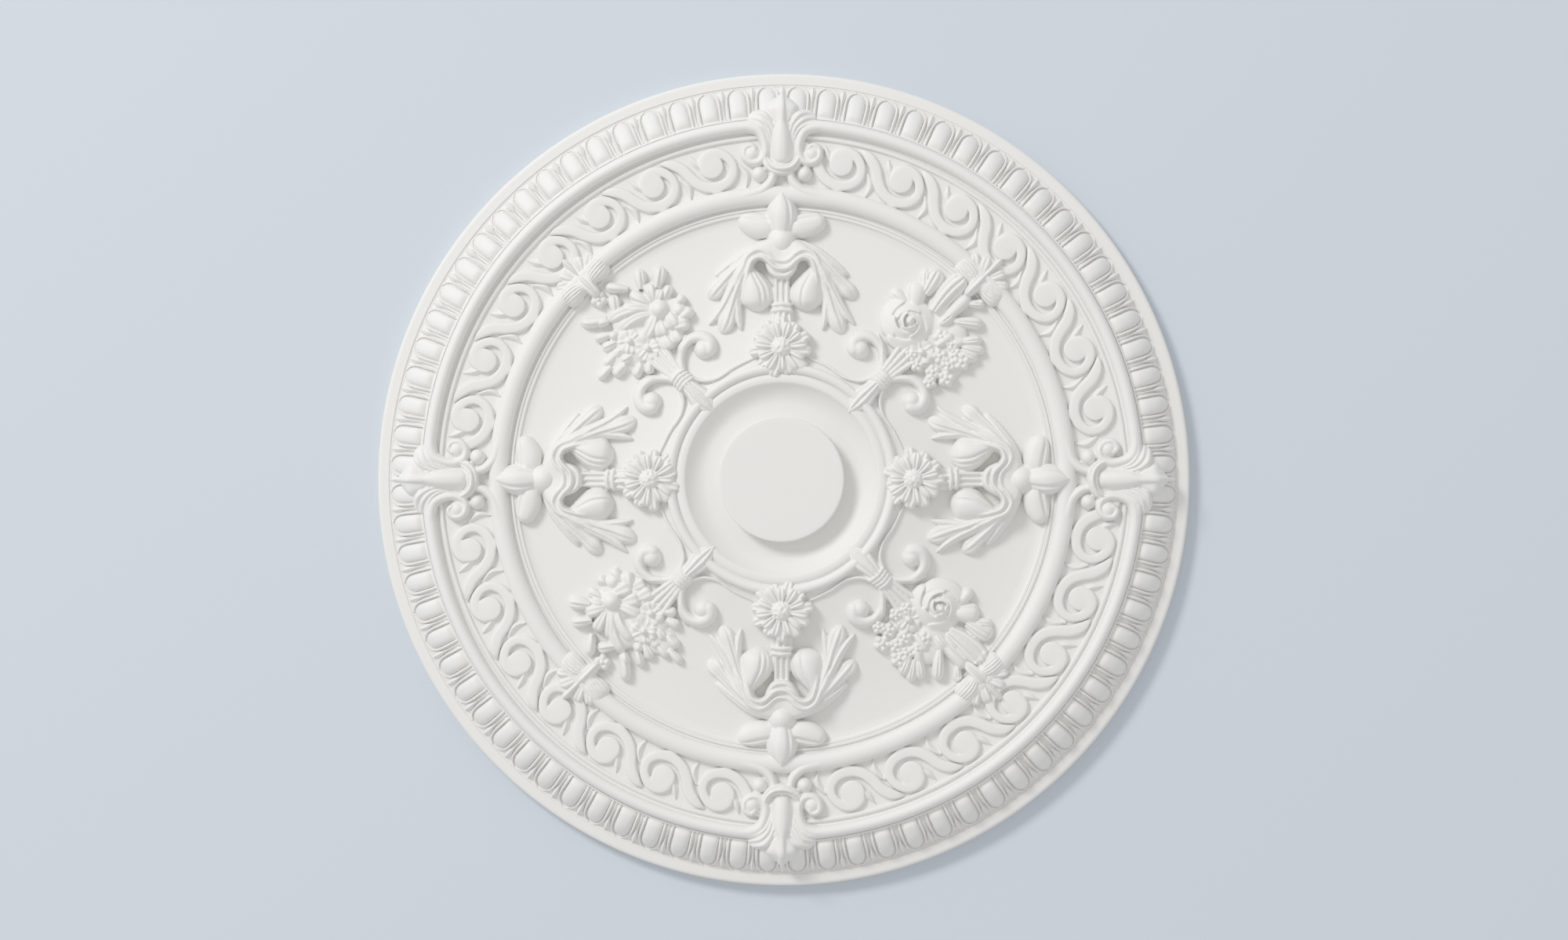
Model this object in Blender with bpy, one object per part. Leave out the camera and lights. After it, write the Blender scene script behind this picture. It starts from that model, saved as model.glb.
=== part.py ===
"""Ceiling rose: a round cast ornament for a ceiling, with a flat back and a carved face.

It lies face up: the back is on z = 0, the axis is +Z and +Y is the top of the pattern.
Blender 4.5, metres.
"""

import math

import bmesh
import bpy
import numpy as np

# Plan sizes, from the rim inwards
OUTER_RADIUS = 0.330
RIM_WIDTH = 0.010
EGG_BAND_WIDTH = 0.028
OUTER_ROLL_WIDTH = 0.013
PANEL_WIDTH = 0.042
INNER_ROLL_WIDTH = 0.015
FILLET_WIDTH = 0.008

# Plan sizes, from the centre outwards
DISC_RADIUS = 0.0505
DISH_WIDTH = 0.0265
RING_WIDTH = 0.016

# Heights above the back
RIM_HEIGHT = 0.013
BAND_HEIGHT = 0.023
PANEL_HEIGHT = 0.028
FIELD_EDGE_HEIGHT = 0.027
FIELD_CENTRE_HEIGHT = 0.044
DISH_HEIGHT = 0.038
DISC_HEIGHT = 0.052

# How far the mouldings and the carving stand up from the surface below
ROLL_RELIEF = 0.009
RING_RELIEF = 0.007
EGG_RELIEF = 0.009
SCROLL_RELIEF = 0.005
LEAF_RELIEF = 0.009
BUD_RELIEF = 0.013
FLOWER_RELIEF = 0.016

# The pattern
QUARTERS = 4
EGG_COUNT = 80
SCROLLS_PER_QUARTER = 7
SCROLL_PITCH_DEGREES = 11.1
DAISY_PETALS = 12
SUNFLOWER_PETALS = 9
SUNFLOWER_QUARTERS = (0, 1)
OUTER_SEGMENTS = 64
INNER_SEGMENTS = 40
FACET_SHARE = 0.58

# Finish
BODY_COLOUR = (0.83, 0.82, 0.80, 1.0)
BODY_ROUGHNESS = 0.62

# The carving is drawn in millimetres on a rose of these radii, and carried to the sizes above
DRAWN_RADII = (0.0, 50.5, 77.0, 93.0, 214.0, 222.0, 237.0, 279.0, 292.0, 320.0, 330.0)
MM = 0.001

# Each piece of carving starts this far below the surface, and its foot stands this share of the way up to it
SINK = 0.003
FOOT_SHARE = 0.4
# How broad a crown is, how much of a scroll is flat, and how deep the notches between petals are
CROWN_SHARE = 0.55
SCROLL_FLAT_SHARE = 0.6
PETAL_NOTCH = 0.72

RIM_INNER = OUTER_RADIUS - RIM_WIDTH
BAND_INNER = RIM_INNER - EGG_BAND_WIDTH
PANEL_OUTER = BAND_INNER - OUTER_ROLL_WIDTH
PANEL_INNER = PANEL_OUTER - PANEL_WIDTH
INNER_ROLL_INNER = PANEL_INNER - INNER_ROLL_WIDTH
FIELD_OUTER = INNER_ROLL_INNER - FILLET_WIDTH
DISH_OUTER = DISC_RADIUS + DISH_WIDTH
FIELD_INNER = DISH_OUTER + RING_WIDTH
REAL_RADII = (
    0.0,
    DISC_RADIUS,
    DISH_OUTER,
    FIELD_INNER,
    FIELD_OUTER,
    INNER_ROLL_INNER,
    PANEL_INNER,
    PANEL_OUTER,
    BAND_INNER,
    RIM_INNER,
    OUTER_RADIUS,
)


def between(start, end, share):
    return start + (end - start) * share


def outer_profile():
    """Radius and height of the turned face, from the back edge in to the middle of the field."""
    roll_top = PANEL_HEIGHT + ROLL_RELIEF
    roll_side = PANEL_HEIGHT + 0.45 * ROLL_RELIEF
    field_rise = FIELD_CENTRE_HEIGHT - FIELD_EDGE_HEIGHT
    return [
        (OUTER_RADIUS, 0.0),
        (OUTER_RADIUS, 0.75 * RIM_HEIGHT),
        (between(OUTER_RADIUS, RIM_INNER, 0.3), RIM_HEIGHT),
        (RIM_INNER, RIM_HEIGHT),
        (between(RIM_INNER, BAND_INNER, 0.05), 0.92 * RIM_HEIGHT),
        (BAND_INNER, BAND_HEIGHT),
        (between(BAND_INNER, PANEL_OUTER, 0.08), roll_side),
        (between(BAND_INNER, PANEL_OUTER, 0.5), roll_top),
        (between(BAND_INNER, PANEL_OUTER, 0.92), roll_side),
        (PANEL_OUTER, PANEL_HEIGHT),
        (PANEL_INNER, PANEL_HEIGHT),
        (between(PANEL_INNER, INNER_ROLL_INNER, 0.08), roll_side),
        (between(PANEL_INNER, INNER_ROLL_INNER, 0.5), roll_top),
        (between(PANEL_INNER, INNER_ROLL_INNER, 0.95), roll_side),
        (between(INNER_ROLL_INNER, FIELD_OUTER, 0.3), between(FIELD_EDGE_HEIGHT, PANEL_HEIGHT, 0.8)),
        (FIELD_OUTER, FIELD_EDGE_HEIGHT),
        (between(FIELD_OUTER, FIELD_INNER, 0.45), FIELD_EDGE_HEIGHT + 0.25 * field_rise),
    ]


def inner_profile():
    """Radius and height of the turned face, from inside the field to the centre."""
    field_rise = FIELD_CENTRE_HEIGHT - FIELD_EDGE_HEIGHT
    ring_top = FIELD_CENTRE_HEIGHT + RING_RELIEF
    ring_step = FIELD_CENTRE_HEIGHT + 0.65 * RING_RELIEF
    return [
        (between(FIELD_OUTER, FIELD_INNER, 0.75), FIELD_EDGE_HEIGHT + 0.6 * field_rise),
        (FIELD_INNER, FIELD_CENTRE_HEIGHT),
        (between(FIELD_INNER, DISH_OUTER, 0.06), ring_step),
        (between(FIELD_INNER, DISH_OUTER, 0.25), ring_top),
        (between(FIELD_INNER, DISH_OUTER, 0.45), ring_step),
        (between(FIELD_INNER, DISH_OUTER, 0.9), ring_step),
        (between(DISH_OUTER, DISC_RADIUS, 0.08), between(DISH_HEIGHT, FIELD_CENTRE_HEIGHT, 0.7)),
        (between(DISH_OUTER, DISC_RADIUS, 0.5), DISH_HEIGHT),
        (DISC_RADIUS, DISH_HEIGHT),
        (0.995 * DISC_RADIUS, between(DISH_HEIGHT, DISC_HEIGHT, 0.9)),
        (0.965 * DISC_RADIUS, DISC_HEIGHT),
        (0.0, DISC_HEIGHT),
    ]


def surface(radius):
    """Height of the turned face at a radius."""
    rows = sorted((outer_profile() + inner_profile())[1:])
    return float(np.interp(radius, [row[0] for row in rows], [row[1] for row in rows]))


def spin_profile(bm, profile, segments, start):
    """Turns a line of points once round the axis, from an angle off +X."""
    verts = [
        bm.verts.new((radius * math.cos(start), radius * math.sin(start), height))
        for radius, height in profile
    ]
    line = [bm.edges.new(pair) for pair in zip(verts, verts[1:])]
    bmesh.ops.spin(
        bm,
        geom=verts + line,
        axis=(0.0, 0.0, 1.0),
        cent=(0.0, 0.0, 0.0),
        angle=math.tau,
        steps=segments,
        use_merge=True,
    )


def open_edges(bm):
    return [edge for edge in bm.edges if len(edge.link_faces) == 1]


def turned_body(bm):
    """The turned slab that carries the carving, closed at the back."""
    spin_profile(bm, outer_profile(), OUTER_SEGMENTS, 0.0)
    spin_profile(bm, inner_profile(), INNER_SEGMENTS, math.pi / INNER_SEGMENTS)
    bmesh.ops.remove_doubles(bm, verts=bm.verts[:], dist=0.01 * MM)
    back = [edge for edge in open_edges(bm) if edge.verts[0].co.z < MM and edge.verts[1].co.z < MM]
    seam = [edge for edge in open_edges(bm) if edge not in back]
    bmesh.ops.bridge_loops(bm, edges=seam)
    bmesh.ops.contextual_create(bm, geom=back)
    bmesh.ops.recalc_face_normals(bm, faces=bm.faces[:])


def placed(x, y, turn):
    """A drawn point, x clockwise and y outwards in millimetres, on the real plan at a turn from +Y."""
    drawn = math.hypot(x, y)
    radius = float(np.interp(drawn, DRAWN_RADII, REAL_RADII))
    angle = math.radians(90.0 + turn) - math.atan2(x, y)
    return radius * math.cos(angle), radius * math.sin(angle), radius


def lump(bm, foot, top, turn, level=None):
    """A closed lump: the drawn foot points lie just inside the body, and top holds (x, y, relief)."""
    verts = []
    for x, y in foot:
        real_x, real_y, radius = placed(x, y, turn)
        for height in (FOOT_SHARE * surface(radius), surface(radius) - SINK):
            verts.append(bm.verts.new((real_x, real_y, height)))
    for x, y, relief in top:
        real_x, real_y, radius = placed(x, y, turn)
        ground = surface(radius) if level is None else level
        verts.append(bm.verts.new((real_x, real_y, ground + relief)))
    made = bmesh.ops.convex_hull(bm, input=verts)
    spare = [item for item in made["geom_interior"] if isinstance(item, bmesh.types.BMVert)]
    bmesh.ops.delete(bm, geom=spare, context="VERTS")


def oval(x, y, half_width, half_length, slant, sides):
    """Points round a drawn oval whose length lies at slant degrees clockwise from outwards."""
    points = []
    lean = math.radians(slant)
    for step in range(sides):
        angle = math.tau * (step + 0.5) / sides
        across, along = half_width * math.cos(angle), half_length * math.sin(angle)
        points.append(
            (
                x + across * math.cos(lean) + along * math.sin(lean),
                y - across * math.sin(lean) + along * math.cos(lean),
            )
        )
    return points


def mound(bm, x, y, half_width, half_length, slant, relief, turn, sides=6, level=None):
    """A rounded oval mound, such as a berry or the end of a lobe."""
    foot = oval(x, y, half_width, half_length, slant, sides)
    crown = oval(x, y, CROWN_SHARE * half_width, CROWN_SHARE * half_length, slant, sides // 2)
    lump(bm, foot, [(*point, relief) for point in crown], turn, level)


def extruded(bm, verts, inner):
    """Extrudes the end face on these corners, and returns its new corners in the same order."""
    old_places = [vert.co.copy() for vert in verts]
    faces = [face for face in verts[0].link_faces if set(face.verts) == set(verts)]
    grown = bmesh.ops.extrude_face_region(bm, geom=faces)
    new_verts = [item for item in grown["geom"] if isinstance(item, bmesh.types.BMVert)]
    if inner:
        bmesh.ops.delete(bm, geom=faces, context="FACES_ONLY")
    return [min(new_verts, key=lambda vert: (vert.co - place).length) for place in old_places]


def ridge(bm, stations, relief, turn, level=None, flat_share=0.0):
    """A ridge along drawn stations of (x, y, half width, share of the relief), flat on top where asked."""
    tops = (-flat_share, flat_share) if flat_share else (0.0,)
    made = bmesh.ops.create_circle(bm, cap_ends=True, segments=4 + len(tops), radius=MM)
    verts = made["verts"]
    for index, (x, y, half_width, share) in enumerate(stations):
        before = stations[max(index - 1, 0)]
        after = stations[min(index + 1, len(stations) - 1)]
        along = np.array([after[0] - before[0], after[1] - before[1]])
        across = half_width * np.array([along[1], -along[0]]) / np.linalg.norm(along)
        if index:
            verts = extruded(bm, verts, index > 1)
        left_x, left_y, left_radius = placed(x - across[0], y - across[1], turn)
        right_x, right_y, right_radius = placed(x + across[0], y + across[1], turn)
        ground = surface(placed(x, y, turn)[2]) if level is None else level
        crown = [placed(x + top * across[0], y + top * across[1], turn) for top in tops]
        corners = [
            (left_x, left_y, FOOT_SHARE * surface(left_radius)),
            (left_x, left_y, surface(left_radius) - SINK),
            *[(top_x, top_y, ground + relief * share) for top_x, top_y, _ in crown],
            (right_x, right_y, surface(right_radius) - SINK),
            (right_x, right_y, FOOT_SHARE * surface(right_radius)),
        ]
        for vert, corner in zip(verts, corners):
            vert.co = corner


def both_sides(draw, bm, stations, relief, turn):
    """Draws a ridge and its mirror image across the axis of the ornament."""
    draw(bm, stations, relief, turn)
    draw(bm, [(-station[0], *station[1:]) for station in stations], relief, turn)


def across_axis(draw, bm, stations, relief, turn):
    """Draws one ridge from these stations, which end on the axis, and on through their mirror image."""
    other_side = [(-station[0], *station[1:]) for station in reversed(stations[:-1])]
    draw(bm, stations + other_side, relief, turn)


def eggs(bm):
    """The band of eggs inside the rim."""
    pitch = 360.0 / EGG_COUNT
    half_width = 0.33 * math.radians(pitch) * 320.0
    foot = [(-half_width, 293), (half_width, 293), (half_width, 310), (0, 319.5), (-half_width, 310)]
    top = [
        (-0.5 * half_width, 293.5, 0.85 * EGG_RELIEF),
        (0.5 * half_width, 293.5, 0.85 * EGG_RELIEF),
        (0.0, 311.0, EGG_RELIEF),
    ]
    for index in range(EGG_COUNT):
        lump(bm, foot, top, (index + 0.5) * pitch)


def scrolls(bm):
    """The running scrolls on the flat panel, each growing from the one before."""
    pitch = SCROLL_PITCH_DEGREES
    stem = [(-0.74, 267.0, 4.5, 0.7), (-0.45, 253.0, 5.5, 1.0)]
    coil = [
        (-8, 242.5, 5.5, 1.0),
        (7, 245.5, 5.5, 1.0),
        (12, 256, 5.0, 1.0),
        (3, 268, 5.0, 1.0),
        (-9, 264, 5.5, 1.0),
    ]
    for quarter in range(QUARTERS):
        for index in range(SCROLLS_PER_QUARTER):
            place = 90.0 * quarter + 45.0 - (index - (SCROLLS_PER_QUARTER - 1) / 2) * pitch
            stations = []
            for share, radius, half_width, lift in stem if index else []:
                angle = math.radians(share * pitch)
                stations.append((radius * math.sin(angle), radius * math.cos(angle), half_width, lift))
            ridge(bm, stations + coil, SCROLL_RELIEF, place, flat_share=SCROLL_FLAT_SHARE)
            mound(bm, -4.5, 258.5, 9.5, 9.5, 0.0, SCROLL_RELIEF, place)


def palmette(bm, turn):
    """The spray over the egg band and the ends of the rolls that curl in beside it."""
    trunk = [
        (0, 258, 6, 0.9),
        (0, 285, 8, 0.6),
        (0, 304, 12, 1.2),
        (0, 317, 1.5, 0.4),
    ]
    ridge(bm, trunk, LEAF_RELIEF, turn)
    lobe = [(6, 284, 5, 0.6), (15, 297, 8, 1.2), (28, 292, 3, 0.8)]
    both_sides(ridge, bm, lobe, LEAF_RELIEF, turn)
    roll_end = [(24, 285, 6, 0.1), (11, 275, 6, 1.1), (9, 260, 6, 1.2), (0, 252, 6, 1.1)]
    across_axis(ridge, bm, roll_end, ROLL_RELIEF, turn)
    lower_end = [(24, 231, 5, 0.1), (8, 246, 5, 0.9)]
    both_sides(ridge, bm, lower_end, ROLL_RELIEF, turn)
    for side in (-1, 1):
        mound(bm, 24 * side, 266, 10, 10, 0, ROLL_RELIEF, turn)
        mound(bm, 18 * side, 247, 8, 8, 0, 0.7 * ROLL_RELIEF, turn, 4)


def bud(bm, turn):
    """The three-petalled bud that points outwards over the inner roll, and the ball under it."""
    mound(bm, 0, 222, 13, 18, 0, 1.1 * BUD_RELIEF, turn, level=PANEL_HEIGHT)
    petal = [(38, 215, 2, 0.7), (20, 209, 11, 0.9), (0, 206, 7, 0.7)]
    across_axis(ridge, bm, petal, BUD_RELIEF, turn)
    mound(bm, 0, 195, 13, 13, 0, 1.2 * BUD_RELIEF, turn)


def acanthus(bm, turn):
    """The folded leaf that hangs under the ball, with its stem, collar and cup."""
    lip = [(29, 171, 5, 0.8), (22, 186, 7, 1.0), (0, 172, 7, 1.0)]
    across_axis(ridge, bm, lip, BUD_RELIEF, turn)
    for side in (-1, 1):
        mound(bm, 20 * side, 156, 14, 20, 6 * side, 0.9 * BUD_RELIEF, turn)
    lobes = [
        [(24, 187, 6, 0.6), (42, 179, 8, 0.7), (55, 166, 3, 0.4)],
        [(27, 180, 6, 0.6), (46, 165, 9, 0.8), (57, 150, 5, 0.5)],
        [(28, 170, 6, 0.6), (56, 127, 2, 0.5)],
        [(28, 164, 6, 0.6), (40, 138, 9, 0.8), (49, 117, 5, 0.6)],
    ]
    for lobe in lobes:
        both_sides(ridge, bm, lobe, LEAF_RELIEF, turn)
    ridge(bm, [(0, 172, 8, 1.0), (0, 142, 8, 0.8)], LEAF_RELIEF, turn)
    mound(bm, 0, 140, 12, 6, 0, LEAF_RELIEF, turn)
    mound(bm, 0, 129, 11, 9, 0, LEAF_RELIEF, turn)


def flower(bm, x, y, petals, button, reach, relief, turn, level=None):
    """An open flower: a star of petals round a raised button."""
    points = 2 * petals
    rings = ((1.0, None), (1.0, 0.5 * relief), (0.62, 0.85 * relief))
    verts = bmesh.ops.create_circle(bm, cap_ends=True, segments=points, radius=MM)["verts"]
    for index, (share, rise) in enumerate(rings):
        if index:
            verts = extruded(bm, verts, index > 1)
        for step, vert in enumerate(verts):
            lean = math.tau * step / points
            notch = 1.0 if step % 2 else PETAL_NOTCH
            petal = reach * share * notch
            real_x, real_y, radius = placed(x + petal * math.sin(lean), y + petal * math.cos(lean), turn)
            if rise is None:
                height = FOOT_SHARE * surface(radius)
            else:
                height = (surface(radius) if level is None else level) + rise
            vert.co = (real_x, real_y, height)
    mound(bm, x, y, button, button, 0, relief, turn, 6, level)


def tie(bm, turn):
    """The bound stems on the diagonal, with the leaf below, the webs beside it and two curls."""
    wrap = [(-11, 107), (11, 107), (10, 121), (-10, 121)]
    crest = [(x, y, 1.1 * LEAF_RELIEF) for x, y in ((-6, 109), (6, 109), (5, 119), (-5, 119))]
    lump(bm, wrap, crest, turn)
    leaf = [(-6, 108), (6, 108), (12, 91), (0, 75), (-12, 91)]
    keel = [(0, 108, 0.6 * LEAF_RELIEF), (0, 86, 0.6 * LEAF_RELIEF)]
    lump(bm, leaf, keel, turn)
    web = [(7, 109, 5, 0.5), (15, 97, 5, 0.4), (40, 84, 5, 0.3)]
    both_sides(ridge, bm, web, LEAF_RELIEF, turn)
    curl = [(5, 120, 5, 0.6), (18, 132, 7, 1.0), (35, 124, 9, 1.0), (28, 113, 7, 0.8)]
    both_sides(ridge, bm, curl, LEAF_RELIEF, turn)
    stems = [(-5, 118), (5, 118), (17, 148), (-17, 148)]
    spread = [(0, 119, 0.8 * LEAF_RELIEF), (9, 147, 0.7 * LEAF_RELIEF), (-9, 147, 0.7 * LEAF_RELIEF)]
    lump(bm, stems, spread, turn)


def roll_leaves(bm, turn):
    """The leaves that fold over the inner roll above each bunch of flowers."""
    leaf = [(3, 213, 5, 0.6), (14, 226, 9, 0.4), (25, 236, 3, 0.5)]
    both_sides(ridge, bm, leaf, LEAF_RELIEF, turn)
    ridge(bm, [(0, 228, 4, 0.4), (0, 240, 8, 0.7), (0, 252, 3, 0.5)], LEAF_RELIEF, turn)


def pointed_leaf(bm, start, end, relief, turn):
    """A pointed leaf from one drawn point to another."""
    stations = [
        (between(start[0], end[0], share), between(start[1], end[1], share), half_width, lift)
        for share, half_width, lift in ((0.0, 5.0, 0.8), (0.6, 8.0, 1.0), (1.0, 2.5, 0.6))
    ]
    ridge(bm, stations, relief, turn)


def sunflower_bunch(bm, turn):
    """The bunch with the open sunflower and small blossoms."""
    flower(bm, 27, 171, SUNFLOWER_PETALS, 9, 21, 0.9 * FLOWER_RELIEF, turn)
    mound(bm, -12, 155, 15, 14, 0, BUD_RELIEF, turn)
    mound(bm, -6, 185, 20, 16, 0, BUD_RELIEF, turn)
    mound(bm, 12, 151, 18, 12, 0, 0.8 * BUD_RELIEF, turn)
    mound(bm, 38, 152, 11, 9, 0, 0.7 * BUD_RELIEF, turn)
    leaves = [
        ((-18, 158), (-48, 166)),
        ((-14, 196), (-29, 210)),
        ((-4, 198), (-4, 218)),
        ((6, 198), (15, 219)),
        ((20, 188), (37, 206)),
        ((28, 186), (50, 194)),
        ((-14, 150), (-30, 142)),
    ]
    for start, end in leaves:
        pointed_leaf(bm, start, end, LEAF_RELIEF, turn)


def rose_bunch(bm, turn):
    """The bunch with the full rose, two large petals and a spray of berries."""
    mound(bm, -18, 165, 23, 23, 0, FLOWER_RELIEF, turn, 8)
    mound(bm, 17, 153, 16, 12, 0, BUD_RELIEF, turn)
    mound(bm, 14, 176, 22, 12, 0, 0.9 * BUD_RELIEF, turn)
    mound(bm, 34, 164, 13, 18, 0, 0.8 * BUD_RELIEF, turn)
    leaves = [
        ((-22, 188), (-37, 211)),
        ((-9, 184), (-11, 221)),
        ((6, 186), (26, 206)),
        ((28, 180), (46, 200)),
        ((-28, 182), (-47, 174)),
        ((3, 200), (8, 222)),
    ]
    for start, end in leaves:
        pointed_leaf(bm, start, end, LEAF_RELIEF, turn)


def object_from(bm, name):
    bmesh.ops.recalc_face_normals(bm, faces=bm.faces[:])
    mesh = bpy.data.meshes.new(name)
    bm.to_mesh(mesh)
    bm.free()
    obj = bpy.data.objects.new(name, mesh)
    bpy.context.scene.collection.objects.link(obj)
    return obj


def finish_of(name):
    """The factory primer: warm white and matt."""
    material = bpy.data.materials.new(name)
    material.use_nodes = True
    shader = material.node_tree.nodes["Principled BSDF"]
    shader.inputs["Base Color"].default_value = BODY_COLOUR
    shader.inputs["Roughness"].default_value = BODY_ROUGHNESS
    shader.inputs["Metallic"].default_value = 0.0
    return material


def main():
    for obj in list(bpy.data.objects):
        bpy.data.objects.remove(obj)

    turned = bmesh.new()
    turned_body(turned)
    body = object_from(turned, "ceiling_rose")
    body.data.materials.append(finish_of("primed_white"))

    carving = bmesh.new()
    eggs(carving)
    scrolls(carving)
    for quarter in range(QUARTERS):
        turn = 360.0 / QUARTERS * quarter
        palmette(carving, turn)
        bud(carving, turn)
        acanthus(carving, turn)
        flower(carving, 0, 109, DAISY_PETALS, 9, 26, FLOWER_RELIEF, turn, FIELD_CENTRE_HEIGHT)
        diagonal = turn + 180.0 / QUARTERS
        tie(carving, diagonal)
        roll_leaves(carving, diagonal)
        if quarter in SUNFLOWER_QUARTERS:
            sunflower_bunch(carving, diagonal)
        else:
            rose_bunch(carving, diagonal)
    carved = object_from(carving, "carving")
    carved.hide_render = True
    carved.display_type = "WIRE"

    union = body.modifiers.new("carving", "BOOLEAN")
    union.operation = "UNION"
    union.solver = "EXACT"
    union.use_self = True
    union.object = carved
    turned_group = body.vertex_groups.new(name="turned")
    turned_group.add(range(len(body.data.vertices)), 1.0, "REPLACE")
    thin = body.modifiers.new("fewer_facets", "DECIMATE")
    thin.decimate_type = "COLLAPSE"
    thin.ratio = FACET_SHARE
    thin.vertex_group = turned_group.name
    thin.invert_vertex_group = True
    thin.vertex_group_factor = 1000.0


if __name__ == "__main__":
    main()
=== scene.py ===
"""Looks of a cast ceiling rose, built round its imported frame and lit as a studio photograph."""

import functools
import math

import bmesh
import bpy
import numpy as np
from bpy.props import FloatProperty, IntProperty, PointerProperty, StringProperty
from mathutils import Matrix, Vector


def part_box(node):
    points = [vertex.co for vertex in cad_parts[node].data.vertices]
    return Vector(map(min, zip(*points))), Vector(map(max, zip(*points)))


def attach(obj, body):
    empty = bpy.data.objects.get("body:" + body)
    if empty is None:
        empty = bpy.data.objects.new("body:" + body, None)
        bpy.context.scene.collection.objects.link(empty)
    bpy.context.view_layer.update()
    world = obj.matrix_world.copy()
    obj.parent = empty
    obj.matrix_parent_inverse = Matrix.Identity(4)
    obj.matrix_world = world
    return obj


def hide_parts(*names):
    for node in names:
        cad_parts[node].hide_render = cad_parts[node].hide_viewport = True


bl_info = {
    "name": "Ceiling rose",
    "version": (1, 0, 0),
    "blender": (4, 5, 0),
    "location": "3D View > Sidebar > Rose",
    "description": "Builds the looks of a cast ceiling rose round its frame",
    "category": "Object",
}

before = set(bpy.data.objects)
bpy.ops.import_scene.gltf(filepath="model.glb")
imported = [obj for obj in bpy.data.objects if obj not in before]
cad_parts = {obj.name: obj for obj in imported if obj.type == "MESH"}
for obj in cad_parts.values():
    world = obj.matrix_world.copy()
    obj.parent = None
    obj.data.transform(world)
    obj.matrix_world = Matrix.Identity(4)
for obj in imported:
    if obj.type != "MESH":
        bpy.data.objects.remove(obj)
NODE = "ceiling_rose"
BODY = "root"
LOW, HIGH = (Vector(corner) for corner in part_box(NODE))
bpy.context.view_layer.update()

# All drawn places below are in millimetres: x clockwise and y outwards from the centre
MM = 0.001
OUTER = HIGH.x / MM

# Turns of the copies, in degrees counter-clockwise from +Y
QUARTER_TURNS = (0.0, 90.0, 180.0, 270.0)
DIAGONAL_TURNS = (45.0, 135.0, 225.0, 315.0)
SUNFLOWER_TURNS = (45.0, 135.0)
ROSE_TURNS = (225.0, 315.0)

# Radii of the turned face, from the rim inwards
RIM_INNER = OUTER - 10.0
BAND_INNER = RIM_INNER - 28.0
PANEL_OUTER = BAND_INNER - 13.0
PANEL_INNER = PANEL_OUTER - 42.0
ROLL_INNER = PANEL_INNER - 15.0
FIELD_OUTER = ROLL_INNER - 8.0
DISC = 50.5
DISH_OUTER = DISC + 26.5
FIELD_INNER = DISH_OUTER + 16.0

# Carving starts this far under the face, so that no gap shows at its foot
SINK = 2.0
# Edges that turn by more degrees than this stay sharp; a cast skin has none
CREASE = 50.0
NO_CREASE = 180.0

# The finish: the spray's bumps are drawn this far apart and this deep, in mm
PRIMER_ROUGHNESS = 0.6
SPRAY_PITCH = 1.5
SPRAY_DEPTH = 0.1
SPRAY_STRENGTH = 0.05
BACKDROP_ROUGHNESS = 0.9
# Bits to the right of the red and the green in a hex colour
RED_SHIFT, GREEN_SHIFT = 16, 8

# The stage, in metres and watts: a wide floor and a soft key light up on the left
FLOOR_REACH = 6.0
SKY_STRENGTH = 0.64
KEY_WIDTH = 1.8
KEY_POWER = 168.0
KEY_PLACE = (-3.4, 3.4, 4.2)

# A long lens overhead, that takes in this width at the rose and leans a little off the vertical
LENS_MM = 85.0
SENSOR_MM = 36.0
VIEW_WIDTH = 1.279
CAMERA_LEAN_X, CAMERA_LEAN_Y = 0.027, -0.005
AIM = (0.0012, 0.0, 0.013)
CLIP_END = 20.0
# The photograph's width, and how far it is framed above the aim, in its pixels
PHOTO_WIDTH = 2000.0
PHOTO_SHIFT = 12.0


class RoseSizes(bpy.types.PropertyGroup):
    """Heights and counts of the carving."""

    rim_height: FloatProperty(
        name="Rim height",
        description="Height of the plain rim",
        default=13.0 * MM,
        subtype="DISTANCE",
    )
    band_height: FloatProperty(
        name="Band height",
        description="Height of the ground under the eggs, at its inner edge",
        default=23.0 * MM,
        subtype="DISTANCE",
    )
    panel_height: FloatProperty(
        name="Panel height",
        description="Height of the flat scroll panel",
        default=28.0 * MM,
        subtype="DISTANCE",
    )
    field_height: FloatProperty(
        name="Field height",
        description="Height of the field beside the ring",
        default=44.0 * MM,
        subtype="DISTANCE",
    )
    dish_height: FloatProperty(
        name="Dish height",
        description="Lowest height of the dish",
        default=38.0 * MM,
        subtype="DISTANCE",
    )
    disc_height: FloatProperty(
        name="Disc height",
        description="Height of the plain disc",
        default=52.0 * MM,
        subtype="DISTANCE",
    )
    roll_relief: FloatProperty(
        name="Roll relief",
        description="How far the rolls stand up",
        default=9.0 * MM,
        subtype="DISTANCE",
    )
    egg_count: IntProperty(name="Eggs", description="Eggs round the rim", default=80, min=8)
    scroll_count: IntProperty(
        name="Scrolls", description="Scrolls in each quarter", default=7, min=1
    )
    scroll_pitch: FloatProperty(
        name="Scroll pitch",
        description="Angle from one scroll to the next",
        default=math.radians(11.1),
        subtype="ANGLE",
    )


class RoseFinish(bpy.types.PropertyGroup):
    """Colours of the rose and of the stage, as sRGB hex values."""

    primer: StringProperty(
        name="Primer", description="Factory primer on the casting", default="EDECE9"
    )
    backdrop: StringProperty(name="Backdrop", description="Colour of the stage", default="D5DCE4")


def sizes():
    """The sizes that the user can change."""
    return bpy.context.scene.rose_sizes


def linear(value):
    """Linear RGBA of an sRGB hex colour."""
    number = int(value, 16)
    channels = [(number >> shift & 255) / 255 for shift in (RED_SHIFT, GREEN_SHIFT, 0)]
    return [c / 12.92 if c <= 0.04045 else ((c + 0.055) / 1.055) ** 2.4 for c in channels] + [1.0]


def between(start, end, share):
    """The value this share of the way from start to end."""
    return start + (end - start) * share


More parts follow.
